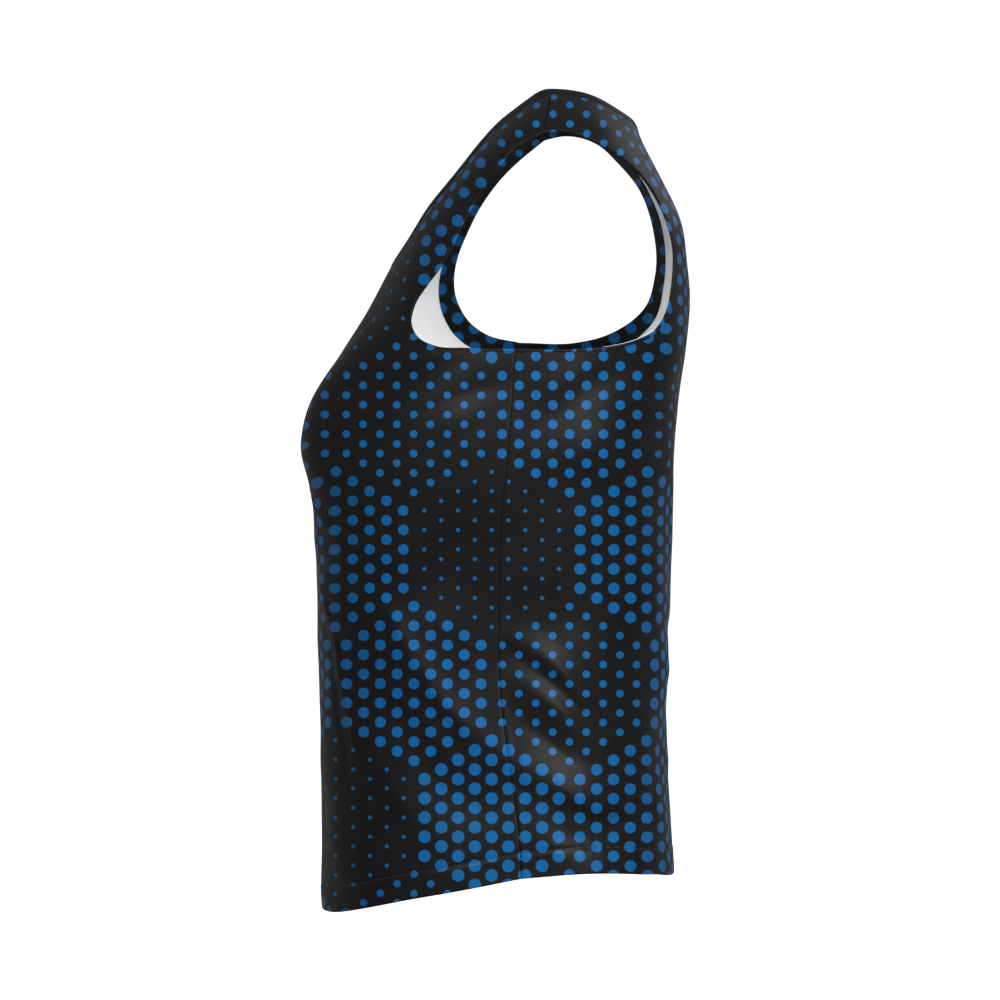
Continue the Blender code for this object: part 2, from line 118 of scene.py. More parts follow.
# Largest folds. Columns: side, (y, height) of three points along it, width, depth (+ is a ridge).
FOLDS = [
    ("left", (-0.050, -0.189), (-0.105, -0.200), (-0.150, -0.212), 0.013, -0.0030),
    ("left", (-0.022, -0.198), (-0.068, -0.212), (-0.105, -0.232), 0.014, -0.0026),
    ("left", (-0.125, -0.385), (-0.096, -0.425), (-0.056, -0.478), 0.022, 0.0040),
    ("left", (-0.128, -0.430), (-0.095, -0.470), (-0.062, -0.512), 0.020, -0.0030),
    ("left", (0.075, -0.190), (0.036, -0.208), (0.000, -0.236), 0.015, -0.0030),
    ("left", (-0.020, -0.387), (0.014, -0.412), (0.048, -0.464), 0.013, 0.0034),
    ("left", (-0.022, -0.425), (0.010, -0.446), (0.032, -0.474), 0.012, 0.0028),
    ("left", (-0.004, -0.508), (0.036, -0.538), (0.086, -0.520), 0.014, -0.0034),
    ("right", (-0.048, -0.192), (-0.098, -0.204), (-0.144, -0.222), 0.014, -0.0028),
    ("right", (-0.115, -0.370), (-0.088, -0.420), (-0.052, -0.458), 0.022, 0.0036),
    ("right", (-0.130, -0.445), (-0.100, -0.482), (-0.070, -0.530), 0.019, -0.0028),
    ("right", (0.070, -0.196), (0.034, -0.218), (0.004, -0.246), 0.015, -0.0026),
    ("right", (-0.016, -0.398), (0.018, -0.424), (0.054, -0.452), 0.014, 0.0032),
    ("right", (0.002, -0.520), (0.040, -0.542), (0.082, -0.512), 0.014, -0.0030),
]
FOLD_FREE = 0.030           # half breadth of the strip along the centre lines where the folds fade out
FOLD_ENDS = 0.35            # share of a fold's depth that is left at its ends
BEND_STEPS = 25

# Finer creases, in millimetres. Columns: height (+ is a ridge), breadth on the left and on the right of
# the way that it runs, and its points. On the sides a point is the distance round the body from the side
# seam, - to the front, and the height; on the front and the back it is x and the height.
CREASES = {
    "left": [
        (-1.7, 4, 6, [(-30, -182), (-54, -187), (-77, -192), (-101, -196), (-130, -202), (-160, -214)]),
        (0.9, 4, 4, [(-58, -179), (-90, -186), (-122, -193), (-152, -203)]),
        (-1.1, 6, 6, [(2, -193), (-14, -201), (-35, -208), (-52, -215), (-70, -223), (-92, -231)]),
        (-1.0, 3, 3, [(-95, -170), (-95, -178), (-88, -184), (-76, -186)]),
        (-0.6, 8, 8, [(106, -184), (81, -193), (61, -200), (44, -210), (33, -223), (16, -232)]),
        (-1.3, 12, 14, [(104, -206), (76, -221), (52, -238), (30, -256)]),
        (-1.0, 12, 14, [(-6, -222), (-38, -237), (-76, -249)]),
        (1.3, 6, 6, [(-214, -281), (-187, -297), (-163, -310), (-146, -322), (-132, -335), (-109, -349)]),
        (1.4, 4, 3, [(-190, -318), (-188, -339), (-177, -358), (-161, -378), (-148, -396), (-143, -413),
                     (-136, -438), (-131, -466), (-129, -481), (-126, -501), (-127, -526)]),
        (-1.0, 5, 6, [(-182, -372), (-160, -408), (-150, -440), (-145, -480), (-142, -516)]),
        (2.4, 9, 8, [(-118, -338), (-94, -368), (-80, -379), (-70, -395), (-54, -418), (-44, -438),
                     (-29, -455), (-17, -470), (-10, -486)]),
        (-1.6, 8, 8, [(-86, -410), (-75, -424), (-60, -439), (-46, -453), (-37, -474), (-30, -494)]),
        (1.0, 6, 6, [(-110, -470), (-105, -483), (-94, -504), (-84, -522), (-77, -540)]),
        (-1.6, 8, 8, [(14, -379), (34, -389), (53, -405), (70, -427), (88, -456)]),
        (1.9, 5, 6, [(-1, -386), (18, -397), (33, -407), (47, -420), (56, -432), (65, -444), (77, -462)]),
        (-2.2, 5, 6, [(1, -391), (23, -408), (42, -423), (56, -439), (68, -454), (82, -470)]),
        (1.6, 9, 6, [(1, -411), (17, -423), (31, -434), (45, -448), (53, -462), (62, -480)]),
        (-1.0, 5, 6, [(1, -438), (11, -446), (24, -459), (36, -470), (46, -482), (57, -495)]),
        (-2.0, 4, 6, [(16, -498), (30, -510), (41, -518), (52, -524), (68, -528), (89, -530), (109, -526),
                      (128, -519), (143, -503)]),
        (2.4, 20, 9, [(-37, -445), (-20, -462), (-2, -478), (18, -494), (39, -506), (61, -513), (83, -514),
                      (103, -506)]),
        (-1.4, 5, 5, [(112, -534), (138, -544), (166, -552)]),
        (-0.6, 7, 7, [(-60, -24), (-62, -70), (-78, -120)]),
    ],
    "right": [
        (-2.0, 6, 5, [(-26, -186), (-50, -192), (-80, -203), (-108, -212), (-136, -224)]),
        (-1.8, 6, 6, [(4, -199), (-18, -208), (-42, -219), (-70, -234)]),
        (1.0, 7, 6, [(-20, -201), (-56, -211), (-92, -226)]),
        (-2.0, 6, 7, [(100, -195), (74, -205), (52, -217), (28, -238)]),
        (1.0, 7, 7, [(-206, -292), (-176, -312), (-150, -336), (-122, -352)]),
        (1.3, 4, 4, [(-182, -338), (-172, -372), (-156, -410), (-144, -452), (-138, -500)]),
        (2.2, 8, 9, [(-108, -354), (-88, -382), (-66, -412), (-46, -440), (-24, -466)]),
        (-1.6, 8, 7, [(-88, -424), (-62, -450), (-44, -478), (-38, -502)]),
        (1.9, 6, 6, [(1, -396), (24, -406), (46, -425), (70, -456)]),
        (-1.9, 6, 5, [(1, -407), (26, -424), (48, -446), (68, -474)]),
        (1.3, 6, 5, [(2, -428), (24, -446), (48, -474)]),
        (-1.9, 5, 6, [(22, -506), (46, -524), (74, -534), (104, -530), (132, -510)]),
        (0.9, 6, 7, [(-102, -478), (-90, -506), (-80, -536)]),
        (-0.9, 6, 7, [(-58, -30), (-66, -80), (-84, -128)]),
    ],
    "front": [
        (1.1, 9, 11, [(-92, -296), (-58, -318), (-12, -326), (40, -320), (84, -300)]),
        (-1.2, 9, 8, [(-100, -326), (-60, -346), (-24, -350)]),
        (-1.0, 8, 9, [(30, -352), (66, -344), (104, -322)]),
        (1.2, 8, 7, [(-110, -398), (-76, -430), (-30, -452), (16, -458)]),
        (-1.2, 8, 8, [(-96, -436), (-50, -468), (0, -478)]),
        (1.0, 7, 8, [(112, -412), (72, -440), (34, -450)]),
        (0.8, 7, 7, [(-52, -500), (-44, -540), (-48, -574)]),
        (0.8, 8, 7, [(40, -506), (46, -548), (40, -584)]),
        (-0.8, 7, 6, [(-74, -138), (-64, -168), (-40, -192)]),
        (-0.7, 7, 6, [(72, -142), (60, -172), (38, -190)]),
    ],
    "back": [
        (-1.3, 8, 10, [(-84, -372), (-44, -392), (4, -396), (50, -388), (86, -368)]),
        (1.3, 9, 8, [(-88, -404), (-40, -426), (20, -428), (72, -410)]),
        (-1.1, 8, 8, [(-70, -444), (-20, -460), (36, -456)]),
        (0.9, 9, 8, [(-60, -480), (-8, -500), (52, -490)]),
        (-1.0, 8, 8, [(-88, -498), (-52, -526), (-10, -534)]),
        (0.9, 8, 9, [(-96, -230), (-60, -262), (-30, -306)]),
        (0.9, 9, 8, [(94, -238), (62, -270), (36, -318)]),
    ],
}
CREASE_STEPS = 48
CREASE_ENDS = 0.8           # power of the half sine along a crease: below 1 its ends are blunter

# Slow unevenness of hanging cloth, as three waves. Columns: radians for a metre round the body, radians for
# a metre up, start. The last wave comes and goes up the body.
SWELL = 0.0005
SWELL_WAVES = [(61, 37, 0.0), (43, -71, 1.3), (23, 97, 2.1)]
SWELL_COMES = 29

# Grid of each half panel. Columns: rows up to here, place on the inner edge, place on the outer edge.
# The inner edge is 0 to 1 up the centre line and 1 to 2 round the neck; the outer edge is 0 to 1
# up the side seam and 1 to 2 round the armhole.
GRID_ROWS = {
    "front": [(0, 0.00, 0.00), (20, 0.84, 1.00), (31, 1.00, 1.42), (45, 1.98, 1.98), (46, 2.00, 2.00)],
    "back": [(0, 0.00, 0.00), (20, 0.70, 1.00), (36, 1.00, 1.62), (46, 1.97, 1.98), (47, 2.00, 2.00)],
}
ARMPIT_ROW = 20
NECK_ROW = {"front": 31, "back": 36}

OUTLINE_POINTS = 241        # points on which an edge is first worked out
EDGE_POINTS = 201           # points to which it is then evened out
MEAN_BREADTH = 0.16


def curve_through(knots, values, at):
    """A cubic through the knots: each knot's slope comes from its neighbours, so the curve has no corners."""
    knots, values, at = np.asarray(knots), np.asarray(values), np.asarray(at, float)
    slopes = np.gradient(values, knots)
    i = np.clip(np.searchsorted(knots, at, side="right") - 1, 0, len(knots) - 2)
    step = knots[i + 1] - knots[i]
    f = (at - knots[i]) / step
    return (values[i] * (1 + 2 * f) * (1 - f) ** 2 + values[i + 1] * f * f * (3 - 2 * f)
            + step * (slopes[i] * f * (1 - f) ** 2 + slopes[i + 1] * f * f * (f - 1)))


def section(column, z):
    """One column of SECTIONS at height z."""
    heights = SECTIONS[:, HEIGHT]
    return curve_through(heights, SECTIONS[:, column], np.clip(z, heights[0], heights[-1]))


def half_section(panel, z):
    """Half breadth, y of the side seam, reach in y to the panel's centre and fullness, at height z."""
    reach = section(FRONT_Y if panel == "front" else BACK_Y, z) - section(SEAM_Y, z)
    full = section(FRONT_FULL if panel == "front" else BACK_FULL, z)
    return section(HALF_BREADTH, z), section(SEAM_Y, z), reach, full


def angle_round(panel, x, y, z):
    """Angle round the section, 0 at the side seam and a quarter turn at the centre, on the way to (x, y)."""
    breadth, seam_y, reach, full = half_section(panel, z)
    forward = np.clip((y - seam_y) / reach, 0, None) ** (full / 2)
    return np.arctan2(forward, np.clip(x / breadth, 0, None) ** (full / 2))


def angle_at_y(panel, y, z):
    """The same angle for the section's point at y."""
    _, seam_y, reach, full = half_section(panel, z)
    return np.arcsin(np.clip((y - seam_y) / reach, 0, 1) ** (full / 2))


SHOULDER_FOOT, SHOULDER_TOP = -0.150, 0.0219  # levels that hold the shoulders between them
HALVINGS = 40


def height_over(panel, x, y):
    """Height of the shoulders over a plan point, halved down between two levels that hold it."""
    low, high = np.full_like(x, SHOULDER_FOOT), np.full_like(x, SHOULDER_TOP)
    for _ in range(HALVINGS):
        z = (low + high) / 2
        breadth, seam_y, reach, full = half_section(panel, z)
        outside = (x / breadth) ** full + np.clip((y - seam_y) / reach, 0, None) ** full > 1
        low, high = np.where(outside, low, z), np.where(outside, z, high)
    return (low + high) / 2


LEVELS = np.linspace(SECTIONS[0, HEIGHT], SECTIONS[-1, HEIGHT], 68)
TURNS = np.linspace(0, QUARTER_TURN, 121)
JUST_PAST_ONE = 1.001       # keeps a place read from the table short of its last row and column


def length_table(panel):
    """Distance round each level from the side seam to each angle: the sum of the section's short steps."""
    z, turn = np.meshgrid(LEVELS, TURNS, indexing="ij")
    breadth, _, reach, full = half_section(panel, z)
    x, y = breadth * np.cos(turn) ** (2 / full), reach * np.sin(turn) ** (2 / full)
    steps = np.hypot(np.diff(x, axis=1), np.diff(y, axis=1))
    return np.concatenate([np.zeros((len(LEVELS), 1)), np.cumsum(steps, axis=1)], axis=1)


ROUND = {"front": -length_table("front"), "back": length_table("back")}


def distance_round(panel, angle, z):
    """Distance round the body from the side seam, - to the front, read between the table's four nearest."""
    row = np.clip((z - LEVELS[0]) / (LEVELS[1] - LEVELS[0]), 0, len(LEVELS) - JUST_PAST_ONE)
    column = np.clip(angle / TURNS[1], 0, len(TURNS) - JUST_PAST_ONE)
    i, j = row.astype(int), column.astype(int)
    f, g = row - i, column - j
    table = ROUND[panel]
    return ((table[i, j] * (1 - g) + table[i, j + 1] * g) * (1 - f)
            + (table[i + 1, j] * (1 - g) + table[i + 1, j + 1] * g) * f)


def unit(vectors):
    return vectors / np.linalg.norm(vectors, axis=-1, keepdims=True)


def distance_to_bend(y, z, first, middle, last):
    """Distance from (y, z) to the bend through three points, and the place along it from 0 to 1."""
    nearest, place = np.full_like(y, np.inf), np.zeros_like(y)
    for s in np.linspace(0, 1, BEND_STEPS):
        bend = ((1 - s) * (1 - 2 * s), 4 * s * (1 - s), s * (2 * s - 1))
        bend_y = bend[0] * first[0] + bend[1] * middle[0] + bend[2] * last[0]
        bend_z = bend[0] * first[1] + bend[1] * middle[1] + bend[2] * last[1]
        distance = np.hypot(y - bend_y, z - bend_z)
        place = np.where(distance < nearest, s, place)
        nearest = np.minimum(distance, nearest)
    return nearest, place


def fold_height(side, x, y, z):
    """How far the largest folds raise or sink the cloth: soft troughs and ridges, faded at their ends."""
    total = np.zeros_like(y)
    for fold_side, first, middle, last, width, depth in FOLDS:
        if fold_side == side:
            distance, place = distance_to_bend(y, z, first, middle, last)
            along_it = FOLD_ENDS + (1 - FOLD_ENDS) * np.sin(np.pi * place)
            total += depth * np.exp(-(distance / width) ** 2) * along_it
    return total * (1 - np.exp(-(x / FOLD_FREE) ** 2))


def crease_height(across, z, height, left, right, points):
    """One crease: a bell across its curve, with a breadth of its own on each side, and half a sine
    along it, so that it comes up out of the cloth and goes back into it."""
    points = np.array(points) * MM
    height, left, right = height * MM, left * MM, right * MM
    run = np.concatenate([[0], np.cumsum(np.hypot(*np.diff(points, axis=0).T))])
    at = np.linspace(0, run[-1], CREASE_STEPS)
    line = np.stack([curve_through(run, points[:, 0], at), curve_through(run, points[:, 1], at)], axis=-1)
    way = unit(np.gradient(line, axis=0))
    reach = 3 * max(left, right)
    near = ((across > line[:, 0].min() - reach) & (across < line[:, 0].max() + reach)
            & (z > line[:, 1].min() - reach) & (z < line[:, 1].max() + reach))
    offset = np.stack([across[near], z[near]], axis=-1)[:, None] - line
    closest = np.argmin((offset ** 2).sum(axis=-1), axis=1)
    offset, way = offset[np.arange(len(closest)), closest], way[closest]
    aside = way[:, 0] * offset[:, 1] - way[:, 1] * offset[:, 0]
    place = np.clip((at[closest] + (way * offset).sum(axis=-1)) / run[-1], 0, 1)
    total = np.zeros_like(z)
    total[near] = (height * np.exp(-(aside / np.where(aside > 0, left, right)) ** 2)
                   * np.sin(np.pi * place) ** CREASE_ENDS)
    return total


def on_form(panel, side, angle, z, creased=True):
    """Points of the filled-out top at the given angles and heights: a superellipse at each height, pushed
    out or in along its own normal by the folds and creases, with the bust's mound on the front."""
    breadth, seam_y, reach, full = half_section(panel, z)
    x = breadth * np.cos(angle) ** (2 / full)
    y = seam_y + reach * np.sin(angle) ** (2 / full)
    slope_x = (x / breadth) ** (full - 1) / breadth
    slope_y = ((y - seam_y) / reach) ** (full - 1) / reach
    steep = np.hypot(slope_x, slope_y)
    raised = fold_height(side, x, y, z)
    if creased:
        round_body, own_x = distance_round(panel, angle, z), SIDES[side] * x
        fine = sum(crease_height(round_body, z, *crease) for crease in CREASES[side])
        waves = [np.sin(around * round_body + up * z + start) for around, up, start in SWELL_WAVES]
        swell = waves[0] + waves[1] + waves[2] * np.sin(SWELL_COMES * z)
        fine = (fine + SWELL * swell) * (1 - np.exp(-(x / FOLD_FREE) ** 2))
        level = sum(crease_height(own_x, z, *crease) for crease in CREASES[panel])
        raised = raised + fine + level * (slope_y / steep) ** 2
    x, y = x + raised * slope_x / steep, y + raised * slope_y / steep
    if panel == "front":
        spread = np.where(z > BUST_Z, BUST_ABOVE, BUST_BELOW)
        mound = np.exp(-((x - BUST_X) / BUST_ACROSS) ** 2 - ((z - BUST_Z) / spread) ** 2)
        y = y - BUST_DEPTH * mound * np.sin(angle) ** 2
    return np.stack([SIDES[side] * x, y, z], axis=-1)


def spaced(points):
    """Places evenly spaced along a line of (angle, height) points, as if on a cylinder of the top's size."""
    steps = np.hypot(MEAN_BREADTH * np.diff(points[:, 0]), np.diff(points[:, 1]))
    run = np.concatenate([[0], np.cumsum(steps)])
    at = np.linspace(0, run[-1], EDGE_POINTS)
    return np.stack([np.interp(at, run, points[:, 0]), np.interp(at, run, points[:, 1])], axis=-1)


def armhole_edge(panel, side):
    """(angle, height) along the armhole, from the side seam up to the shoulder seam."""
    outline = np.array(ARMHOLES[panel, side][::-1])
    run = np.concatenate([[0], np.cumsum(np.hypot(*np.diff(outline, axis=0).T))])
    at = np.linspace(0, run[-1], OUTLINE_POINTS)
    y, z = curve_through(run, outline[:, 0], at), curve_through(run, outline[:, 1], at)
    angle = angle_at_y(panel, y, z)
    angle[0] = angle[-1] = 0.0
    return spaced(np.stack([angle, z], axis=-1))


def neck_edge(panel):
    """(angle, height) along the neck, from the centre line up to the shoulder seam."""
    reach = (NECK_FRONT_Y if panel == "front" else NECK_BACK_Y) - NECK_MID_Y
    full = NECK_FRONT_FULL if panel == "front" else NECK_BACK_FULL
    turn = np.linspace(0, QUARTER_TURN, OUTLINE_POINTS)
    x = NECK_HALF * np.sin(turn) ** (2 / full)
    y = NECK_MID_Y + reach * np.cos(turn) ** (2 / full)
    z = height_over(panel, x, y)
    angle = angle_round(panel, x, y, z)
    angle[0], angle[-1] = QUARTER_TURN, 0.0
    return spaced(np.stack([angle, z], axis=-1))


def hem_height(panel, angle):
    """Height of the hem at each angle: it drops in a curve from the side seam to the centre."""
    _, _, _, full = half_section(panel, HEM[panel][0][1])
    share, height = np.array(HEM[panel]).T
    return curve_through(share, height, np.sin(angle) ** (2 / full))


def along(edge, place):
    """(angle, height) at places from 0 to 1 along an edge."""
    at = np.linspace(0, 1, len(edge))
    return np.stack([np.interp(place, at, edge[:, 0]), np.interp(place, at, edge[:, 1])], axis=-1)


def half_panel(panel, side, row, across):
    """Angles and heights of half a panel's grid: rows from hem to shoulder, columns from the centre out."""
    rows, inner, outer = np.array(GRID_ROWS[panel]).T
    inner, outer = np.interp(row, rows, inner), np.interp(row, rows, outer)
    neck, armhole = neck_edge(panel), armhole_edge(panel, side)
    seam_hem, centre_hem = hem_height(panel, np.array([0.0, QUARTER_TURN]))
    centre_z = centre_hem + (neck[0, 1] - centre_hem) * inner
    seam_z = seam_hem + (armhole[0, 1] - seam_hem) * outer
    centre = np.stack([np.full_like(inner, QUARTER_TURN), centre_z], axis=-1)
    seam = np.stack([np.zeros_like(outer), seam_z], axis=-1)
    inner_edge = np.where(inner[:, None] <= 1, centre, along(neck, inner - 1))
    outer_edge = np.where(outer[:, None] <= 1, seam, along(armhole, outer - 1))
    across = across[None, :, None]
    grid = inner_edge[:, None] * (1 - across) + outer_edge[:, None] * across
    angle, z = grid[..., 0], grid[..., 1]
    hem_change = hem_height(panel, angle[0]) - z[0]
    fade = np.clip(1 - row / ARMPIT_ROW, 0, 1)[:, None]
    return angle, z + hem_change[None, :] * fade


def outward_of(points, panel, side):
    """Directions out of a grid of surface points, square to its rows and its columns."""
    normal = unit(np.cross(np.gradient(points, axis=1), np.gradient(points, axis=0)))
    return normal * SIDES[side] * (1 if panel == "front" else -1)


SLOPE_TURN, SLOPE_RISE = 0.004, 0.0008        # short steps, in radians and metres, that give the slopes


def outward(panel, side, angle, z):
    """Directions straight out of the cloth, square to its slopes round the section and up."""
    round_section = (on_form(panel, side, np.clip(angle + SLOPE_TURN, 0, QUARTER_TURN), z)
                     - on_form(panel, side, np.clip(angle - SLOPE_TURN, 0, QUARTER_TURN), z))
    upward = on_form(panel, side, angle, z + SLOPE_RISE) - on_form(panel, side, angle, z - SLOPE_RISE)
    normal = unit(np.cross(round_section, upward))
    return normal * (SIDES[side] if panel == "back" else -SIDES[side])


# The print's place on the cloth
# ------------------------------
# The print runs flat over each side of the top, as it looks from there, and follows the cloth round to the
# front and the back. Every panel point gets its place in the print, in metres, by least squares.

VIEW_DISTANCE = 3.5
VIEW_MID_Y, VIEW_MID_Z = 0.0183, -0.0866      # the point at which the side view looks straight
FLAT_COLUMNS = np.linspace(0, 1, 19)
# How far sideways the cloth faces, from 0 to 1: above the first the print keeps the side view's place, and
# between the other two its stretch goes away
HOLD_FLAT = 0.50
STRETCH_FROM, STRETCH_TO = 0.46, 0.00
# Weights in the sum of squares
EDGE_PULL, HOLD_PULL, CENTRE_PULL = 1e-4, 3.0, 6.0
SHORTEST_EDGE_SQUARE, LEAST_SLANT = 1e-7, 0.002


def side_view(points):
    """Points with their y and z as they look from the side: things nearer to the viewer look larger."""
    x, y, z = np.abs(points[..., 0]), points[..., 1], points[..., 2]
    nearer = 1 / (1 - x / VIEW_DISTANCE)
    return np.stack([x, VIEW_MID_Y + (y - VIEW_MID_Y) * nearer, VIEW_MID_Z + (z - VIEW_MID_Z) * nearer],
                    axis=-1)


def flatten_print():
    """How far each panel point's place in the print is from its place in the side view. Each grid edge
    asks for its own length turned flat, the seams are shared, and one least-squares sum settles them."""
    index, seen, normals, count = {}, {}, {}, 0
    for panel in HEM:
        rows = np.arange(GRID_ROWS[panel][-1][0] + 1)
        grid = on_form(panel, "left", *half_panel(panel, "left", rows.astype(float), FLAT_COLUMNS),
                       creased=False)
        seen[panel] = side_view(grid)
        normals[panel] = outward_of(seen[panel], panel, "left")
        index[panel] = count + np.arange(grid[..., 0].size).reshape(grid.shape[:2])
        count += grid[..., 0].size
    index["back"][:ARMPIT_ROW + 1, -1] = index["front"][:ARMPIT_ROW + 1, -1]
    index["back"][-1] = index["front"][-1]

    matrix, wanted = np.zeros((count, count)), np.zeros((count, 2))

    def ask(i, j, change, weight):
        """Adds weight x (place j - place i - change)^2 to the sum."""
        np.add.at(matrix, (i, i), weight)
        np.add.at(matrix, (j, j), weight)
        np.add.at(matrix, (i, j), -weight)
        np.add.at(matrix, (j, i), -weight)
        np.add.at(wanted, j, weight[:, None] * change)
        np.add.at(wanted, i, -weight[:, None] * change)

    centre_pairs = []
    for panel in HEM:
        where, points, normal = index[panel], seen[panel], normals[panel]
        for here, there in ((np.s_[:-1, :], np.s_[1:, :]), (np.s_[:, :-1], np.s_[:, 1:])):
            edge = points[there] - points[here]
            facing = unit(normal[there] + normal[here])
            sideways = facing[..., 0]
            kept = np.clip((sideways - STRETCH_TO) / (STRETCH_FROM - STRETCH_TO), 0, 1)
            share = 1 + (sideways - 1) * kept ** 2 * (3 - 2 * kept)
            turn = (share - sideways) / np.maximum(1 - sideways ** 2, LEAST_SLANT) * edge[..., 0]
            change = edge[..., 1:] - facing[..., 1:] * turn[..., None]
            weight = EDGE_PULL / np.maximum((edge ** 2).sum(axis=-1), SHORTEST_EDGE_SQUARE)
            ask(where[here].ravel(), where[there].ravel(), change.reshape(-1, 2), weight.ravel())
        neck = NECK_ROW[panel] + 1
        centre_pairs.append((where[:neck - 1, 0], where[1:neck, 0]))
        held = normal[..., 0] > HOLD_FLAT
        np.add.at(matrix, (where[held], where[held]), HOLD_PULL)
        np.add.at(wanted, where[held], HOLD_PULL * points[held][:, 1:])

    used = np.unique(np.concatenate([index[panel].ravel() for panel in HEM]))
    up = np.linalg.solve(matrix[np.ix_(used, used)], wanted[used, 1])
    for i, j in centre_pairs:           # the centre lines stay nearly upright in the print
        ask(i, j, np.zeros((len(i), 2)), np.full(len(i), CENTRE_PULL))
    across = np.linalg.solve(matrix[np.ix_(used, used)], wanted[used, 0])
    place = np.zeros((count, 2))
    place[used] = np.stack([across, up], axis=-1)
    return {panel: place[index[panel]] - seen[panel][..., 1:] for panel in HEM}


PRINT_SHIFT = flatten_print()


def print_places(panel, side, row, across, points):
    """Place in the print of each point: its place in the side view plus the shift read between the coarse
    grid's points. The right half carries on across the centre line, so the print isn't mirrored there."""
    shift = PRINT_SHIFT[panel]
    by_row = np.maximum(0, 1 - np.abs(row[:, None] - np.arange(shift.shape[0])))
    by_column = np.maximum(0, 1 - np.abs(across[:, None] / FLAT_COLUMNS[1] - np.arange(shift.shape[1])))
    place = side_view(points)[..., 1:] + np.einsum("ri,ijk,cj->rck", by_row, shift, by_column)
    if side == "right":
        middle = place[:, 0, 0].copy()
        middle[row > NECK_ROW[panel]] = middle[row <= NECK_ROW[panel]][-1]
        place[..., 0] = 2 * middle[:, None] - place[..., 0]
    return place


# Cloth materials
# ---------------
# A smooth, matt-faced polyester knit. The outside is printed: a near-black ground with blue dots in
# hexagons of 61, each hexagon with one size of dot. The inside is bare, a light grey.

HEXAGON = 0.12160           # breadth of a hexagon; its rows are HEXAGON_ROW apart
HEXAGON_ROW = 0.10530
PRINT_U, PRINT_V = -0.10124, -0.01919         # middle of one hexagon
DOT_COLUMN, DOT_STEP = 0.013143, 0.015171     # between columns of dots, and from dot to dot in a column
DOT_EDGE = 0.00030
# Radii of the dots in millimetres, one for each hexagon of the repeat, a row of the print to each line
DOT_RADII = [
    (4.1, 2.9, 4.6, 3.3),
    (4.6, 4.3, 2.2, 1.6),
    (3.0, 3.8, 2.9, 3.1),
    (1.6, 4.5, 2.9, 4.1),
    (4.3, 3.0, 4.9, 4.7),
    (4.9, 4.5, 2.4, 1.6),
    (2.9, 4.1, 1.8, 4.6),
    (3.4, 1.7, 4.4, 2.6),
]
LARGEST_RADIUS = 10.0       # millimetres at the top of the ramp that holds them
DOTS_OUT = 4                # columns of dots on each side of a hexagon's middle one
DOT_GLOSS, INK_RELIEF = 0.03, 0.15
PRINT_ROUGHNESS, PRINT_CLOUDS, PRINT_LOOPS = 0.42, 28.0, 0.25
GROUND = ((0.0052, 0.0052, 0.0057, 1), (0.0080, 0.0079, 0.0086, 1))
BLUE = ((0.0030, 0.0720, 0.2050, 1), (0.0045, 0.0850, 0.2350, 1))

WALE, COURSE = 0.0009, 0.0007                 # breadth and height of the knit's loops
LOOP_DEPTH = 0.00012
LOOP_SHARE = 0.35           # how much of a wale's height comes and goes with its loops
PLAIN_CLOUDS, PLAIN_LOOPS = 35.0, 0.3
KNIT_SHEEN_ROUGHNESS = 0.45
SPECULAR = 0.085            # the matt face of the yarn reflects much less than plastic does
UNEVEN = 0.12               # spread of the roughness over the cloth
OBJECT_PLACES = 3           # the Texture Coordinate node's output of places in the object


class Shade:
    """A value on its way through a material's nodes. Python's operators on it add Math nodes."""

    def __init__(self, tree, socket):
        self.tree, self.socket = tree, socket

    def node(self, kind, settings=None, sockets=None, output=0):
        """Adds a node of a kind, sets its settings, then gives its sockets their values or links."""
        made = self.tree.nodes.new("ShaderNode" + kind)
        for name, value in (settings or {}).items():
            if name == "stops":
                ramp = made.color_ramp
                ramp.interpolation = "CONSTANT"
                ramp.elements.remove(ramp.elements[1])
                for position, grey in value[1:]:
                    ramp.elements.new(position).color = (grey, grey, grey, 1)
                ramp.elements[0].color = (value[0][1],) * 3 + (1,)
            else:
                setattr(made, name, value)
        for name, value in (sockets or {}).items():
            if isinstance(value, Shade):
                self.tree.links.new(value.socket, made.inputs[name])
            else:
                made.inputs[name].default_value = value
        return Shade(self.tree, made.outputs[output])

    def math(self, operation, *values, **settings):
        return self.node("Math", {"operation": operation, **settings}, dict(enumerate(values)))

    def __add__(self, other):
        return self.math("ADD", self, other)

    __radd__ = __add__

    def __sub__(self, other):
        return self.math("SUBTRACT", self, other)

    def __rsub__(self, other):
        return self.math("SUBTRACT", other, self)

    def __mul__(self, other):
        return self.math("MULTIPLY", self, other)

    __rmul__ = __mul__

    def __truediv__(self, other):
        return self.math("DIVIDE", self, other)

    def __abs__(self):
        return self.math("ABSOLUTE", self)

    def __lt__(self, other):
        return self.math("LESS_THAN", self, other)

    def rounded(self):
        return self.math("ROUND", self)

    def wrapped(self, size):
        """The remainder after whole sizes, from 0 up also below 0."""
        return self.math("FLOORED_MODULO", self, size)

    def held(self, low, high):
        return self.math("MAXIMUM", self.math("MINIMUM", self, high), low)

    def choose(self, no, yes):
        """no where this is 0 and yes where it is 1."""
        return no + (yes - no) * self

    def mix(self, first, second):
        """A colour between two colours, by this share. Sockets 6 and 7 of the node take its colours."""
        return self.node("Mix", {"data_type": "RGBA"}, {0: self, 6: first, 7: second}, output=2)


def new_material(name, roughness, sheen, sheen_roughness):
    """A material with its Principled shader's steady values set, and the start of its node sums."""
    material = bpy.data.materials.new(name)
    material.use_nodes = True
    tree = material.node_tree
    shader = tree.nodes["Principled BSDF"]
    shader.inputs["Roughness"].default_value = roughness
    shader.inputs["Specular IOR Level"].default_value = SPECULAR
    shader.inputs["Sheen Weight"].default_value = sheen
    shader.inputs["Sheen Roughness"].default_value = sheen_roughness
    return material, shader, Shade(tree, None)


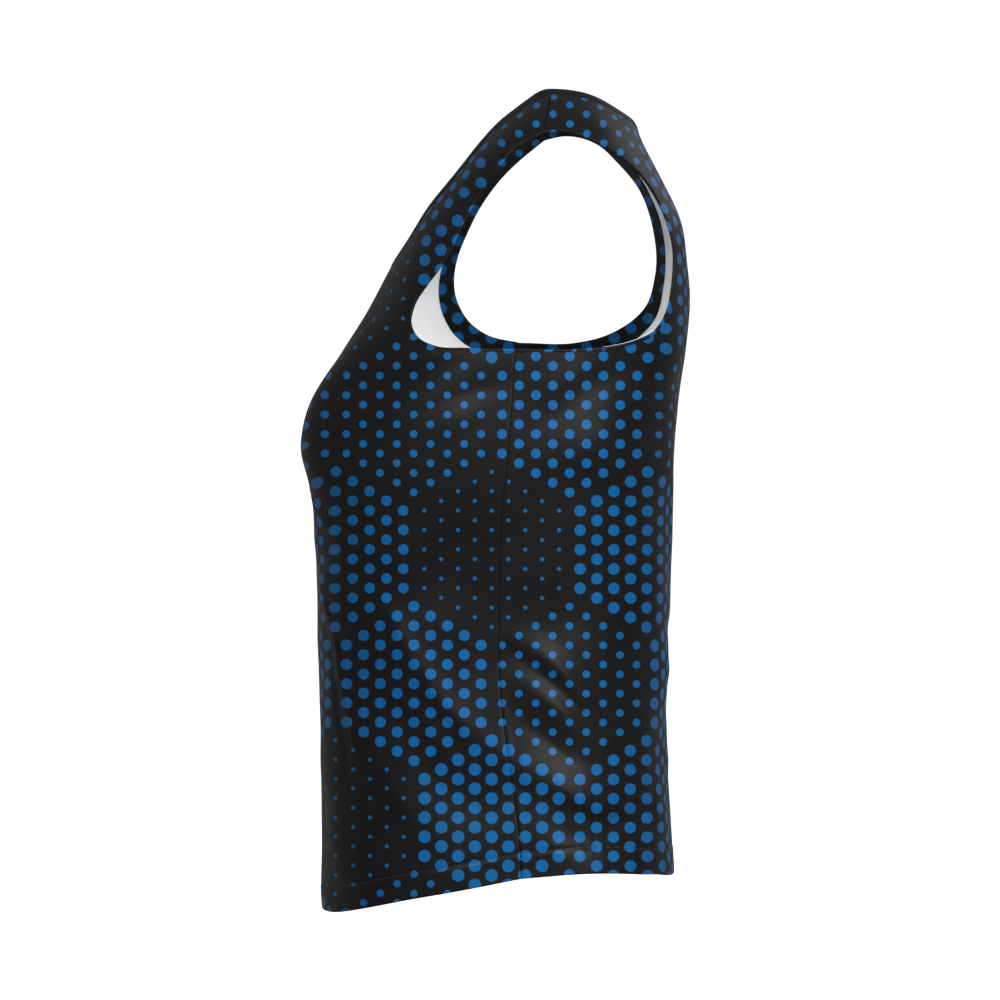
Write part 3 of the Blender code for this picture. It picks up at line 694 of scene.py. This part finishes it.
def feed(shader, name, value):
    value.tree.links.new(value.socket, shader.inputs[name])


def own_places(start):
    """The cloth's own places across and up, in metres, from its UV map."""
    place = start.node("UVMap", {"uv_map": "print"})
    return [start.node("SeparateXYZ", None, {0: place}, output=i) for i in (0, 1)]


def clouds(start, scale):
    """A share from 0 to 1 that wanders slowly over the cloth."""
    at = start.node("TexCoord", output=OBJECT_PLACES)
    return start.node("TexNoise", None, {"Vector": at, "Scale": scale, "Detail": 3.0})


def raise_face(shader, height, strength, depth):
    """Turns a height over the surface into relief."""
    sockets = {"Strength": strength, "Distance": depth, "Height": height}
    feed(shader, "Normal", height.node("Bump", None, sockets))


def knit_relief(start, u, v):
    """Height of a fine knit, 0 to 1: loops in upright wales, each a rounded rib broken at every course."""
    rib = abs(start.math("SINE", u * (np.pi / WALE)))
    lean = rib * 0.5 * COURSE
    loop = start.math("SINE", (v + lean) * (2 * np.pi / COURSE)) * 0.5 + 0.5
    return rib * (LOOP_SHARE * loop + (1 - LOOP_SHARE))


def printed_knit():
    """Blue dots on near-black. A point's hexagon is the nearer of two square grids' centres; inside it the
    nearest dot of its own columns is found, and the colour changes where the dot's radius is reached."""
    material, shader, start = new_material("printed_knit", PRINT_ROUGHNESS, 0.0, KNIT_SHEEN_ROUGHNESS)
    u, v = own_places(start)
    finds = []
    for half in (0, 1):
        column = (u - (PRINT_U + half * HEXAGON / 2)) / HEXAGON
        row = (v - (PRINT_V - half * HEXAGON_ROW)) / (-2 * HEXAGON_ROW)
        whole_column, whole_row = column.rounded(), row.rounded()
        x, y = (column - whole_column) * HEXAGON, (row - whole_row) * (2 * HEXAGON_ROW)
        finds.append((x, y, whole_column, whole_row * 2 + half, x * x + y * y))
    second = finds[1][4] < finds[0][4]
    x, y, column, row = (second.choose(finds[0][i], finds[1][i]) for i in range(4))

    dot_column = (x / DOT_COLUMN).rounded().held(-DOTS_OUT, DOTS_OUT)
    offset = abs(dot_column).wrapped(2) * 0.5
    reach = DOTS_OUT - abs(dot_column) * 0.5
    dot_row = ((y / DOT_STEP - offset).rounded() + offset).held(0 - reach, reach)
    dx, dy = x - dot_column * DOT_COLUMN, y - dot_row * DOT_STEP
    distance = start.math("SQRT", dx * dx + dy * dy)

    radii = np.array(DOT_RADII).ravel() / LARGEST_RADIUS
    rows, columns = len(DOT_RADII), len(DOT_RADII[0])
    which = (column.wrapped(columns) + row.wrapped(rows) * columns + 0.5) / len(radii)
    stops = [(i / len(radii), r) for i, r in enumerate(radii)]
    radius = start.node("ValToRGB", {"stops": stops}, {0: which}) * (LARGEST_RADIUS * MM)
    dot = start.math("MULTIPLY_ADD", radius - distance, 1 / DOT_EDGE, 0.5, use_clamp=True)

    cloud = clouds(start, PRINT_CLOUDS)
    feed(shader, "Base Color", dot.mix(cloud.mix(*GROUND), cloud.mix(*BLUE)))
    feed(shader, "Roughness", PRINT_ROUGHNESS - dot * DOT_GLOSS + (cloud - 0.5) * UNEVEN)
    raise_face(shader, knit_relief(start, u, v) + dot * INK_RELIEF, PRINT_LOOPS, LOOP_DEPTH)
    return material


def plain_knit(name, dark, light, roughness, sheen):
    """The same knit in one colour, a little uneven, with its loops running by the piece's own places."""
    material, shader, start = new_material(name, roughness, sheen, KNIT_SHEEN_ROUGHNESS)
    cloud = clouds(start, PLAIN_CLOUDS)
    feed(shader, "Base Color", cloud.mix(dark, light))
    feed(shader, "Roughness", roughness + (cloud - 0.5) * UNEVEN)
    raise_face(shader, knit_relief(start, *own_places(start)), PLAIN_LOOPS, LOOP_DEPTH)
    return material


PRINTED = printed_knit()
INSIDE = plain_knit("knit_inside", dark=(0.84, 0.84, 0.85, 1), light=(0.90, 0.90, 0.91, 1),
                    roughness=0.8, sheen=0.1)


# The front and back panels' cloth
# --------------------------------
# The knit is about 1 mm thick. Its edges are rounded; the hem is turned up 20 mm inside and sewn, so the
# cloth is double below the stitch line. The seams are pressed, and leave a fine groove.

CLOTH = 0.0010
RIM_STEPS = np.radians([45, 90, 135])
HEM_TURN = 0.0195
TURN_ENDS = 0.0006          # over this the cloth goes from double to single
COLUMNS = np.concatenate([np.linspace(0, 0.972, 90), [0.979, 0.985, 0.990, 0.994, 0.997, 1.0]])
HEM_ROWS = np.linspace(0, 1.4, 20)
SIDE_ROWS = np.arange(8, 5 * ARMPIT_ROW) / 5  # five to each row of the solid's grid
ARMHOLE_ROWS_EACH = 4
DRAWN_IN = 0.0040           # cloth this near to an edge draws in a little to make room for the rim


def panel_rows(panel):
    """Places of the grid's rows: close together at the hem, then a few to each row of the solid's grid."""
    last = GRID_ROWS[panel][-1][0]
    armhole_rows = np.linspace(ARMPIT_ROW, last, ARMHOLE_ROWS_EACH * (last - ARMPIT_ROW) + 1)
    return np.concatenate([HEM_ROWS, SIDE_ROWS, armhole_rows])


SEAM_DEPTH, SEAM_BREADTH = 0.0004, 0.0010
PRESSED_HEIGHT, PRESSED_AT, PRESSED_BREADTH = 0.0004, 0.0022, 0.0014
DOUBLE_HEIGHT, DOUBLE_BREADTH = 0.00015, 0.0024
STITCH_DEPTH, STITCH_BREADTH = 0.0006, 0.0013
PUCKER_HEIGHT, PUCKER_STEP, PUCKER_BREADTH = 0.00016, 0.0105, 0.0060
PUCKER_DRIFT, PUCKER_DRIFT_ROUND = 3, 60      # radians, and radians for a metre across


def bell(distance, breadth):
    return np.exp(-(distance / breadth) ** 2)


def seam_relief(panel, angle, z, points):
    """Relief of the sewing: a groove along each seam with the cloth pressed up beside it, and along the hem
    a sunk stitch line with fine puckers, above cloth that is double."""
    side_seam = np.linalg.norm(points - points[:, -1:], axis=-1)
    side_seam[panel_rows(panel) > ARMPIT_ROW] = 1.0
    shoulder = np.linalg.norm(points - points[-1:], axis=-1)
    from_seam = np.minimum(side_seam, shoulder)
    relief = -SEAM_DEPTH * bell(from_seam, SEAM_BREADTH)
    if panel == "back":
        relief += PRESSED_HEIGHT * bell(from_seam - PRESSED_AT, PRESSED_BREADTH)
    above = z - hem_height(panel, angle) - HEM_TURN
    puckers = np.sin(distance_round(panel, angle, z) * 2 * np.pi / PUCKER_STEP
                     + PUCKER_DRIFT * np.sin(PUCKER_DRIFT_ROUND * points[..., 0]))
    relief += DOUBLE_HEIGHT * (1 - np.tanh(above / DOUBLE_BREADTH))
    relief -= STITCH_DEPTH * bell(above, STITCH_BREADTH)
    return relief + PUCKER_HEIGHT * puckers * bell(above, PUCKER_BREADTH)


def add_mesh(name, points, faces, places, materials, face_material=None):
    """Puts points and four-cornered faces into a smooth new object, with the place in the print of each
    point, or of each corner of each face."""
    corner_places = places[faces] if places.ndim == 2 else places
    used, faces = np.unique(faces, return_inverse=True)
    mesh = bpy.data.meshes.new(name)
    mesh.from_pydata(points[used], [], faces.reshape(-1, 4))
    layer = mesh.uv_layers.new(name="print")
    layer.data.foreach_set("uv", corner_places.astype(np.float32).ravel())
    for material in materials:
        mesh.materials.append(material)
    if face_material is not None:
        mesh.polygons.foreach_set("material_index", face_material.astype(np.int32))
    mesh.shade_smooth()
    piece = bpy.data.objects.new(name, mesh)
    bpy.context.scene.collection.objects.link(piece)
    return piece


def quads(index, turned=False):
    """Corners of every cell of a grid of point numbers, the other way round if turned."""
    corners = [index[:-1, :-1], index[:-1, 1:], index[1:, 1:], index[1:, :-1]]
    return np.stack(corners[::-1] if turned else corners, axis=-1).reshape(-1, 4)


def make_panel(panel):
    """One closed sheet: the outer face, the inner face a cloth's thickness behind it, and a half-round rim
    that joins them along the panel's whole outline."""
    rows = panel_rows(panel)
    shape = (len(rows), len(COLUMNS))
    neck = int(np.searchsorted(rows, NECK_ROW[panel]))
    front = panel == "front"
    points, normals, places, hems = [], [], [], []
    for side in SIDES:
        angle, z = half_panel(panel, side, rows, COLUMNS)
        grid = on_form(panel, side, angle, z)
        normal = outward(panel, side, angle, z)
        places.append(print_places(panel, side, rows, COLUMNS, grid))
        points.append(grid + normal * seam_relief(panel, angle, z, grid)[..., None])
        normals.append(normal)
        hems.append(z - hem_height(panel, angle))
    centre_normal = unit(normals[0][:neck + 1, 0] + normals[1][:neck + 1, 0])
    normals[0][:neck + 1, 0] = centre_normal

    left = np.arange(shape[0] * shape[1]).reshape(shape)
    right = left + left.size
    right[:neck + 1, 0] = left[:neck + 1, 0]
    points = np.concatenate([p.reshape(-1, 3) for p in points])
    normals = np.concatenate([n.reshape(-1, 3) for n in normals])
    places = np.concatenate([p.reshape(-1, 2) for p in places])
    hem = np.concatenate([h.ravel() for h in hems])
    single = 0.5 + 0.5 * np.tanh((hem - HEM_TURN) / TURN_ENDS)
    wall = CLOTH * (2 - single)

    rim = np.concatenate([left[0, :-1], left[:-1, -1], left[-1, :0:-1], left[:neck:-1, 0],
                          right[neck:-1, 0], right[-1, :-1], right[:0:-1, -1], right[0, :0:-1]])
    rim = rim if front else rim[::-1]
    way = unit(np.roll(points[rim], -1, axis=0) - np.roll(points[rim], 1, axis=0))
    past = unit(np.cross(way, normals[rim]))
    half_wall = wall[rim][:, None] / 2
    draw = np.zeros_like(points)
    draw[rim] = past * half_wall
    shift = np.zeros_like(points)
    for index in (left, right):
        for edge, row in ((index[:, -1:], slice(None)), (index[neck + 1:, :1], slice(neck + 1, None))):
            cells = index[row]
            share = np.clip(1 - np.linalg.norm(points[cells] - points[edge], axis=-1) / DRAWN_IN, 0, 1)
            shift[cells] += draw[edge] * share[..., None]
    shift[rim] = draw[rim]
    points -= shift
    middle = points[rim] - normals[rim] * half_wall
    rim_points = [middle + half_wall * (normals[rim] * np.cos(t) + past * np.sin(t)) for t in RIM_STEPS]

    count = len(points)
    loops = ([rim] + [2 * count + i * len(rim) + np.arange(len(rim)) for i in range(len(RIM_STEPS))]
             + [rim + count])
    across_rim = np.stack([np.append(loop, loop[0]) for loop in loops])
    outer = np.concatenate([quads(left, not front), quads(right, front)])
    inner = np.concatenate([quads(left, front), quads(right, not front)]) + count
    faces = np.concatenate([outer, inner, quads(across_rim, True)])
    bare = np.zeros(len(faces))
    bare[len(outer):len(outer) + len(inner)] = hem[(inner - count)[:, 0]] > HEM_TURN
    piece = add_mesh(panel + "_cloth",
                     np.concatenate([points, points - normals * wall[:, None]] + rim_points), faces,
                     np.concatenate([places, places] + [places[rim]] * len(RIM_STEPS)),
                     [PRINTED, INSIDE], bare)
    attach(piece, "root")
    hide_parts(panel + "_panel")
    return piece


front_cloth = make_panel("front")
back_cloth = make_panel("back")


# Neck band
# ---------
# A strip of the black knit, folded double and sewn on by its raw edges, so that a soft rounded fold
# stands 8 mm up from the neck's seam. It leans in towards the wearer's neck.

BAND_WIDTH = 0.0080
# Columns: share of its width up from the neck edge, depth in millimetres below the panel's outer face
BAND_PROFILE = [(-0.06, 0.50), (-0.02, 0.10), (0.04, -0.16), (0.14, -0.34), (0.35, -0.44), (0.62, -0.38),
                (0.82, -0.14), (0.94, 0.34), (0.99, 0.90), (0.98, 1.40), (0.92, 1.90), (0.80, 2.26),
                (0.60, 2.48), (0.35, 2.48), (0.14, 2.34), (0.02, 2.10), (-0.06, 1.60)]
BAND_LEAN_Y = (-0.119, -0.060, 0.004, 0.074)
BAND_LEAN = (0.03, 0.20, 0.38, 0.12)          # radians
BAND_LINE = 0.0011          # from line to line of its profile, for the knit's loops
BAND_SMOOTHING = 6


def edge_rows(panel, start):
    rows = panel_rows(panel)
    return rows[np.searchsorted(rows, start):]


def across_edge(points, normals):
    """Directions in the cloth, square to the loop and pointing into the opening that it bounds."""
    run = unit(np.roll(points, -1, axis=0) - np.roll(points, 1, axis=0))
    across = unit(np.cross(run, normals))
    inward = np.sum(across * (points.mean(axis=0) - points), axis=-1).mean()
    return across * np.sign(inward)


def ring_faces(lines, count):
    """Faces of a closed body whose surface runs through closed lines of points, line after line."""
    index = np.arange(lines * count).reshape(lines, count)
    index = np.concatenate([index, index[:1]])
    return np.concatenate([index, index[:, :1]], axis=1)


def turned_out(points, faces):
    """The faces the right way round: a closed body's volume, summed from its faces, is positive."""
    a, b, c, d = (points[faces[:, i]] for i in range(4))
    volume = np.sum(a * np.cross(b, c)) + np.sum(a * np.cross(c, d))
    return faces if volume > 0 else faces[:, ::-1]


def smooth_round(values, times):
    """Each value of a closed line moved to the mean of itself and its neighbours, some times over."""
    for _ in range(times):
        values = (np.roll(values, 1, axis=0) + 2 * values + np.roll(values, -1, axis=0)) / 4
    return values


def make_neck_band():
    """The band's profile carried round the neck edge of both panels."""
    points, normals = [], []
    for panel, side, turned in (("front", "left", False), ("back", "left", True), ("back", "right", False),
                                ("front", "right", True)):
        angle, z = (line[:, 0] for line in half_panel(panel, side, edge_rows(panel, NECK_ROW[panel]),
                                                      np.array([0.0])))
        order = slice(None, 0, -1) if turned else slice(None, -1)
        points.append(on_form(panel, side, angle, z)[order])
        normals.append(outward(panel, side, angle, z)[order])
    points, normals = np.concatenate(points), smooth_round(unit(np.concatenate(normals)), BAND_SMOOTHING)
    across = across_edge(points, normals)
    lean = np.interp(points[:, 1], BAND_LEAN_Y, BAND_LEAN)[:, None]
    up = across * np.cos(lean) + normals * np.sin(lean)
    out = normals * np.cos(lean) - across * np.sin(lean)
    lines = np.stack([points + up * share * BAND_WIDTH - out * depth * MM
                      for share, depth in BAND_PROFILE])
    step = np.linalg.norm(np.roll(points, -1, axis=0) - points, axis=-1)
    run = np.concatenate([[0], np.cumsum(step)[:-1]])
    across_band = np.arange(len(lines))[:, None] * BAND_LINE
    places = np.stack([np.broadcast_to(run, lines.shape[:2]),
                       np.broadcast_to(across_band, lines.shape[:2])], axis=-1)
    flat = lines.reshape(-1, 3)
    faces = turned_out(flat, quads(ring_faces(*lines.shape[:2])))
    piece = add_mesh("neck_band_cloth", flat, faces, places.reshape(-1, 2), [BLACK])
    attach(piece, "root")
    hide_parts("neck_band")


BLACK = plain_knit("black_knit", dark=(0.0050, 0.0050, 0.0055, 1), light=(0.0080, 0.0080, 0.0085, 1),
                   roughness=0.55, sheen=0.05)
make_neck_band()


# Armhole turnings
# ----------------
# At each armhole the printed cloth is turned in over the edge and lies 15 mm wide against the inside, with
# its printed face showing. The turn is a soft roll that stands a little proud of the panel.

TURNING_WIDTH = 0.015
# Columns: distance in millimetres in from the armhole's edge, depth below the panel's outer face
TURNING_PROFILE = [(1.7, 0.30), (1.6, 0.02), (1.3, -0.16), (0.7, -0.28), (0.0, -0.28), (-0.5, -0.04),
                   (-0.8, 0.42), (-0.8, 1.10), (-0.5, 1.66), (0.0, 1.94), (1.5, 2.05), (4.5, 2.10),
                   (7.5, 2.10), (10.5, 2.10), (14.2, 2.08), (14.8, 1.90), (15.0, 1.55), (14.8, 1.20),
                   (14.2, 1.02), (10.5, 0.97), (7.5, 0.97), (4.5, 0.97), (1.7, 0.97)]
ROLL_LINES = 8              # lines of the profile that show the panel's print
TURNING_STATIONS = np.linspace(0, TURNING_WIDTH, 6)
EDGE_COLUMNS = np.array([0.0, 0.97, 1.0])     # the centre, close to the armhole's edge, and the edge
# The profile's lines that lie this deep and no further in than this are past the roll's crest, where the
# print carries on by their depth
CREST_DEPTH, CREST_INWARDS, CREST_REACH = 0.0002, 0.0016, 0.0008
TURNING_SMOOTHING, PRINT_SMOOTHING = 2, 4


def moved(panel, side, angle, z, shift):
    """The angle and height reached when a surface point moves by a small shift along the cloth: the shift
    resolved on the surface's two slopes."""
    low, high = np.clip(angle - SLOPE_TURN, 0, None), np.clip(angle + SLOPE_TURN, None, QUARTER_TURN)
    round_section = on_form(panel, side, high, z, False) - on_form(panel, side, low, z, False)
    upward = (on_form(panel, side, angle, z + SLOPE_RISE, False)
              - on_form(panel, side, angle, z - SLOPE_RISE, False))
    by_angle, by_height = round_section / (high - low)[:, None], upward / (2 * SLOPE_RISE)
    aa, zz = (by_angle ** 2).sum(axis=-1), (by_height ** 2).sum(axis=-1)
    az = (by_angle * by_height).sum(axis=-1)
    a, b = (by_angle * shift).sum(axis=-1), (by_height * shift).sum(axis=-1)
    square = aa * zz - az ** 2
    return (np.clip(angle + (zz * a - az * b) / square, 0, QUARTER_TURN),
            z + (aa * b - az * a) / square)


def cloth_facing(side, domain):
    """Directions out of the cloth, smoothed round the armhole, at the (angle, height) of both panels."""
    facing = np.concatenate([outward(panel, side, *domain[panel]) for panel in HEM])
    return smooth_round(unit(facing), TURNING_SMOOTHING)


def make_turning(side):
    """The turning's profile carried round the armhole. Its points lie under or over the cloth's own points,
    found by moving in from the edge in short steps. The roll carries the panel's print on, and the inside
    shows the print flat, as it looks from the wearer's left."""
    domain, place, place_slope = {}, [], []
    for panel, order in (("front", slice(None)), ("back", slice(-2, 0, -1))):
        rows = edge_rows(panel, ARMPIT_ROW)
        grid = half_panel(panel, side, rows, EDGE_COLUMNS)
        points = on_form(panel, side, *grid)
        places = print_places(panel, side, rows, EDGE_COLUMNS, points)[order]
        domain[panel] = [line[:, 2][order] for line in grid]
        place.append(places[:, 2])
        gap = np.linalg.norm(points[:, 1] - points[:, 2], axis=-1)[order]
        place_slope.append((places[:, 1] - places[:, 2]) / gap[:, None])
    place, place_slope = np.concatenate(place), smooth_round(np.concatenate(place_slope), PRINT_SMOOTHING)
    edge = np.concatenate([on_form(panel, side, *domain[panel]) for panel in HEM])
    facing = cloth_facing(side, domain)
    into_hole = across_edge(edge, facing)
    cut = len(domain["front"][0])
    parts = {"front": slice(0, cut), "back": slice(cut, None)}
    stations, normals = [], []
    for i, _ in enumerate(TURNING_STATIONS):
        if i:
            step = -into_hole * TURNING_STATIONS[1]
            domain = {panel: moved(panel, side, *domain[panel], step[parts[panel]]) for panel in HEM}
        stations.append(np.concatenate([on_form(panel, side, *domain[panel]) for panel in HEM]))
        normals.append(cloth_facing(side, domain))
    stations, normals = np.array(stations), np.array(normals)
    lines = []
    for inwards, depth in np.array(TURNING_PROFILE) * MM:
        at = np.clip(inwards / TURNING_STATIONS[1], 0, len(stations) - 1)
        i = min(int(at), len(stations) - 2)
        f = at - i
        point = stations[i] * (1 - f) + stations[i + 1] * f
        normal = unit(normals[i] * (1 - f) + normals[i + 1] * f)
        lines.append(point - normal * depth + into_hole * max(0.0, -inwards))
    lines = np.stack(lines)
    flat = lines.reshape(-1, 3)
    middle = np.array([VIEW_MID_Y, VIEW_MID_Z])
    inside = middle + (lines[..., 1:] - middle) / (1 - lines[..., :1] / VIEW_DISTANCE)
    inwards, depth = np.array(TURNING_PROFILE).T * MM
    past_crest = (depth > CREST_DEPTH) & (inwards < CREST_INWARDS)
    reach = np.where(past_crest, -CREST_REACH - depth, inwards)
    rolled = place + place_slope * reach[:, None, None]
    faces = turned_out(flat, quads(ring_faces(*lines.shape[:2])))
    on_roll = (faces // lines.shape[1]).max(axis=1) <= ROLL_LINES
    places = np.where(on_roll[:, None, None], rolled.reshape(-1, 2)[faces], inside.reshape(-1, 2)[faces])
    piece = add_mesh("armhole_turning_" + side, flat, faces, places, [PRINTED])
    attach(piece, "root")
    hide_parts("armhole_facing_" + side)


for side in SIDES:
    make_turning(side)


# Hem stitching
# -------------
# One row of dark thread runs all round, 20 mm above the hem's edge, and holds the turned-up cloth. Each
# stitch lies in the groove that it pulls in the knit.

STITCH_STEP, STITCH_LENGTH = 0.0031, 0.0024
STITCH_RADIUS = 0.00022
STITCH_SIDES = 6
STITCH_SUNK = 0.00030       # how deep the stitch line lies below the cloth beside it
STITCH_PATH_POINTS, STITCH_WAY = 420, 0.0004
THREAD_DARK, THREAD_LIGHT = (0.010, 0.010, 0.011, 1), (0.022, 0.022, 0.024, 1)
STRANDS = 900.0             # to a metre of thread
# Columns: place along the stitch from -0.5 to 0.5, height of its middle in radii, share of its radius
STITCH_PROFILE = [(-0.50, -1.6, 0.3), (-0.42, -0.3, 0.9), (-0.22, 0.3, 1.0), (0.0, 0.45, 1.0),
                  (0.22, 0.3, 1.0), (0.42, -0.3, 0.9), (0.50, -1.6, 0.3)]


def thread_material():
    """Dark polyester thread, twisted: slanting lighter strands round each stitch."""
    material, shader, start = new_material("black_thread", roughness=0.5, sheen=0.2, sheen_roughness=0.4)
    at = start.node("TexCoord", output=OBJECT_PLACES)
    twist = start.node("TexWave", {"wave_type": "BANDS", "bands_direction": "DIAGONAL"},
                       {"Vector": at, "Scale": STRANDS, "Distortion": 0.5}, output=1)
    feed(shader, "Base Color", twist.mix(THREAD_DARK, THREAD_LIGHT))
    raise_face(shader, twist, strength=0.4, depth=0.00006)
    return material


THREAD = thread_material()


def make_hem_stitching(panel):
    """Short tubes set along the stitch line at even steps, each dipping into the cloth at both ends."""
    paths, normals = [], []
    for side, turned in (("right", False), ("left", True)):
        angle = np.linspace(0.0, QUARTER_TURN, STITCH_PATH_POINTS)
        z = hem_height(panel, angle) + HEM_TURN
        order = slice(None, None, -1) if turned else slice(None, -1)
        paths.append(on_form(panel, side, angle, z)[order])
        normals.append(outward(panel, side, angle, z)[order])
    path, normal = np.concatenate(paths), np.concatenate(normals)
    run = np.concatenate([[0], np.cumsum(np.linalg.norm(np.diff(path, axis=0), axis=-1))])

    def read(values, at):
        return np.stack([np.interp(at, run, values[:, i]) for i in range(3)], axis=-1)

    profile = np.array(STITCH_PROFILE)
    middles = np.arange(STITCH_STEP, run[-1] - STITCH_STEP, STITCH_STEP)
    at = middles[:, None] + profile[:, 0] * STITCH_LENGTH
    centre, out = read(path, at), unit(read(normal, at))
    way = unit(read(path, at + STITCH_WAY) - read(path, at - STITCH_WAY))
    aside = unit(np.cross(way, out))
    centre = centre + out * (profile[:, 1] * STITCH_RADIUS - STITCH_SUNK)[:, None]
    turn = np.arange(STITCH_SIDES) * 2 * np.pi / STITCH_SIDES
    ring = aside[:, :, None] * np.cos(turn)[:, None] + out[:, :, None] * np.sin(turn)[:, None]
    points = centre[:, :, None] + ring * (profile[:, 2] * STITCH_RADIUS)[:, None, None]
    count = len(profile) * STITCH_SIDES
    index = np.arange(count).reshape(len(profile), STITCH_SIDES)
    index = np.concatenate([index, index[:, :1]], axis=1)
    tube = quads(index, True)
    ends = np.array([[0, 1, 2, 3], [0, 3, 4, 5]])       # two faces close each six-sided end
    tube = np.concatenate([tube, ends, ends[:, ::-1] + count - STITCH_SIDES])
    faces = (tube[None] + (np.arange(len(middles)) * count)[:, None, None]).reshape(-1, 4)
    flat = points.reshape(-1, 3)
    piece = add_mesh("hem_stitching_" + panel, flat, turned_out(flat, faces), flat[:, 1:], [THREAD])
    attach(piece, "root")
    return piece


for panel, cloth in (("front", front_cloth), ("back", back_cloth)):
    stitching = make_hem_stitching(panel)


# Floor, light and camera
# -----------------------
# A plain white sweep stands well behind the top and runs under it. A large soft light comes from above
# and to the back of the wearer's left side, with a weaker one from its front and a faint one from behind
# the right side. The paper glows a little, and the cloth doesn't see it.

FLOOR_NEAR, FLOOR_Z, WALL_TOP, SWEEP_HALF = 9.0, -0.80, 5.0, 9.0
BEND_X, BEND_RADIUS = -5.0, 1.5
PAPER, PAPER_GLOW = (0.92, 0.92, 0.92, 1), 0.75


def make_sweep():
    """A flat floor that curves up into a flat wall behind, as one strip carried across."""
    turn = np.linspace(0, QUARTER_TURN, 25)
    x = np.concatenate([[FLOOR_NEAR], BEND_X - BEND_RADIUS * np.sin(turn), [BEND_X - BEND_RADIUS]])
    z = np.concatenate([[FLOOR_Z], FLOOR_Z + BEND_RADIUS - BEND_RADIUS * np.cos(turn), [WALL_TOP]])
    y = np.linspace(-SWEEP_HALF, SWEEP_HALF, 7)
    shape = (len(x), len(y))
    points = np.stack([np.broadcast_to(x[:, None], shape), np.broadcast_to(y, shape),
                       np.broadcast_to(z[:, None], shape)], axis=-1).reshape(-1, 3)
    material, shader, _ = new_material("white_paper", roughness=0.9, sheen=0.0, sheen_roughness=0.5)
    shader.inputs["Base Color"].default_value = PAPER
    shader.inputs["Emission Color"].default_value = (1.0, 1.0, 1.0, 1)
    shader.inputs["Emission Strength"].default_value = PAPER_GLOW
    faces = quads(np.arange(len(points)).reshape(shape), True)
    sweep = add_mesh("sweep", points, faces, points[:, :2], [material])
    sweep.visible_diffuse = sweep.visible_glossy = False


LIGHT_AIM = Vector((0, 0, -0.30))


def add_light(name, place, size, power):
    """A square soft light, aimed at the middle of the top."""
    light = bpy.data.lights.new(name, "AREA")
    light.shape = "SQUARE"
    light.size, light.energy = size, power
    lamp = bpy.data.objects.new(name, light)
    lamp.location = place
    lamp.rotation_euler = (LIGHT_AIM - Vector(place)).to_track_quat("-Z", "Y").to_euler()
    bpy.context.scene.collection.objects.link(lamp)


make_sweep()
add_light("key", (2.3, 1.4, 0.8), 0.9, 88)
add_light("fill", (2.3, -0.9, 0.9), 0.9, 46)
add_light("far_side", (-2.0, 1.5, 1.0), 1.4, 5)

bpy.context.scene.view_settings.view_transform = "Standard"
world = bpy.data.worlds.new("studio")
world.use_nodes = True
world.node_tree.nodes["Background"].inputs["Color"].default_value = (1.0, 1.0, 1.0, 1)
world.node_tree.nodes["Background"].inputs["Strength"].default_value = 0.26
bpy.context.scene.world = world

AZIMUTH, ELEVATION = np.radians(90.86), np.radians(3.43)
CAMERA_AIM = Vector((0.0, -0.03393, -0.2964))
lens = bpy.data.cameras.new("camera")
lens.sensor_width, lens.lens = 36.0, 161.54
camera = bpy.data.objects.new("camera", lens)
camera.location = CAMERA_AIM + VIEW_DISTANCE * Vector(
    (np.sin(AZIMUTH) * np.cos(ELEVATION), -np.cos(AZIMUTH) * np.cos(ELEVATION), np.sin(ELEVATION)))
camera.rotation_euler = (CAMERA_AIM - camera.location).to_track_quat("-Z", "Y").to_euler()
bpy.context.scene.collection.objects.link(camera)
bpy.context.scene.camera = camera
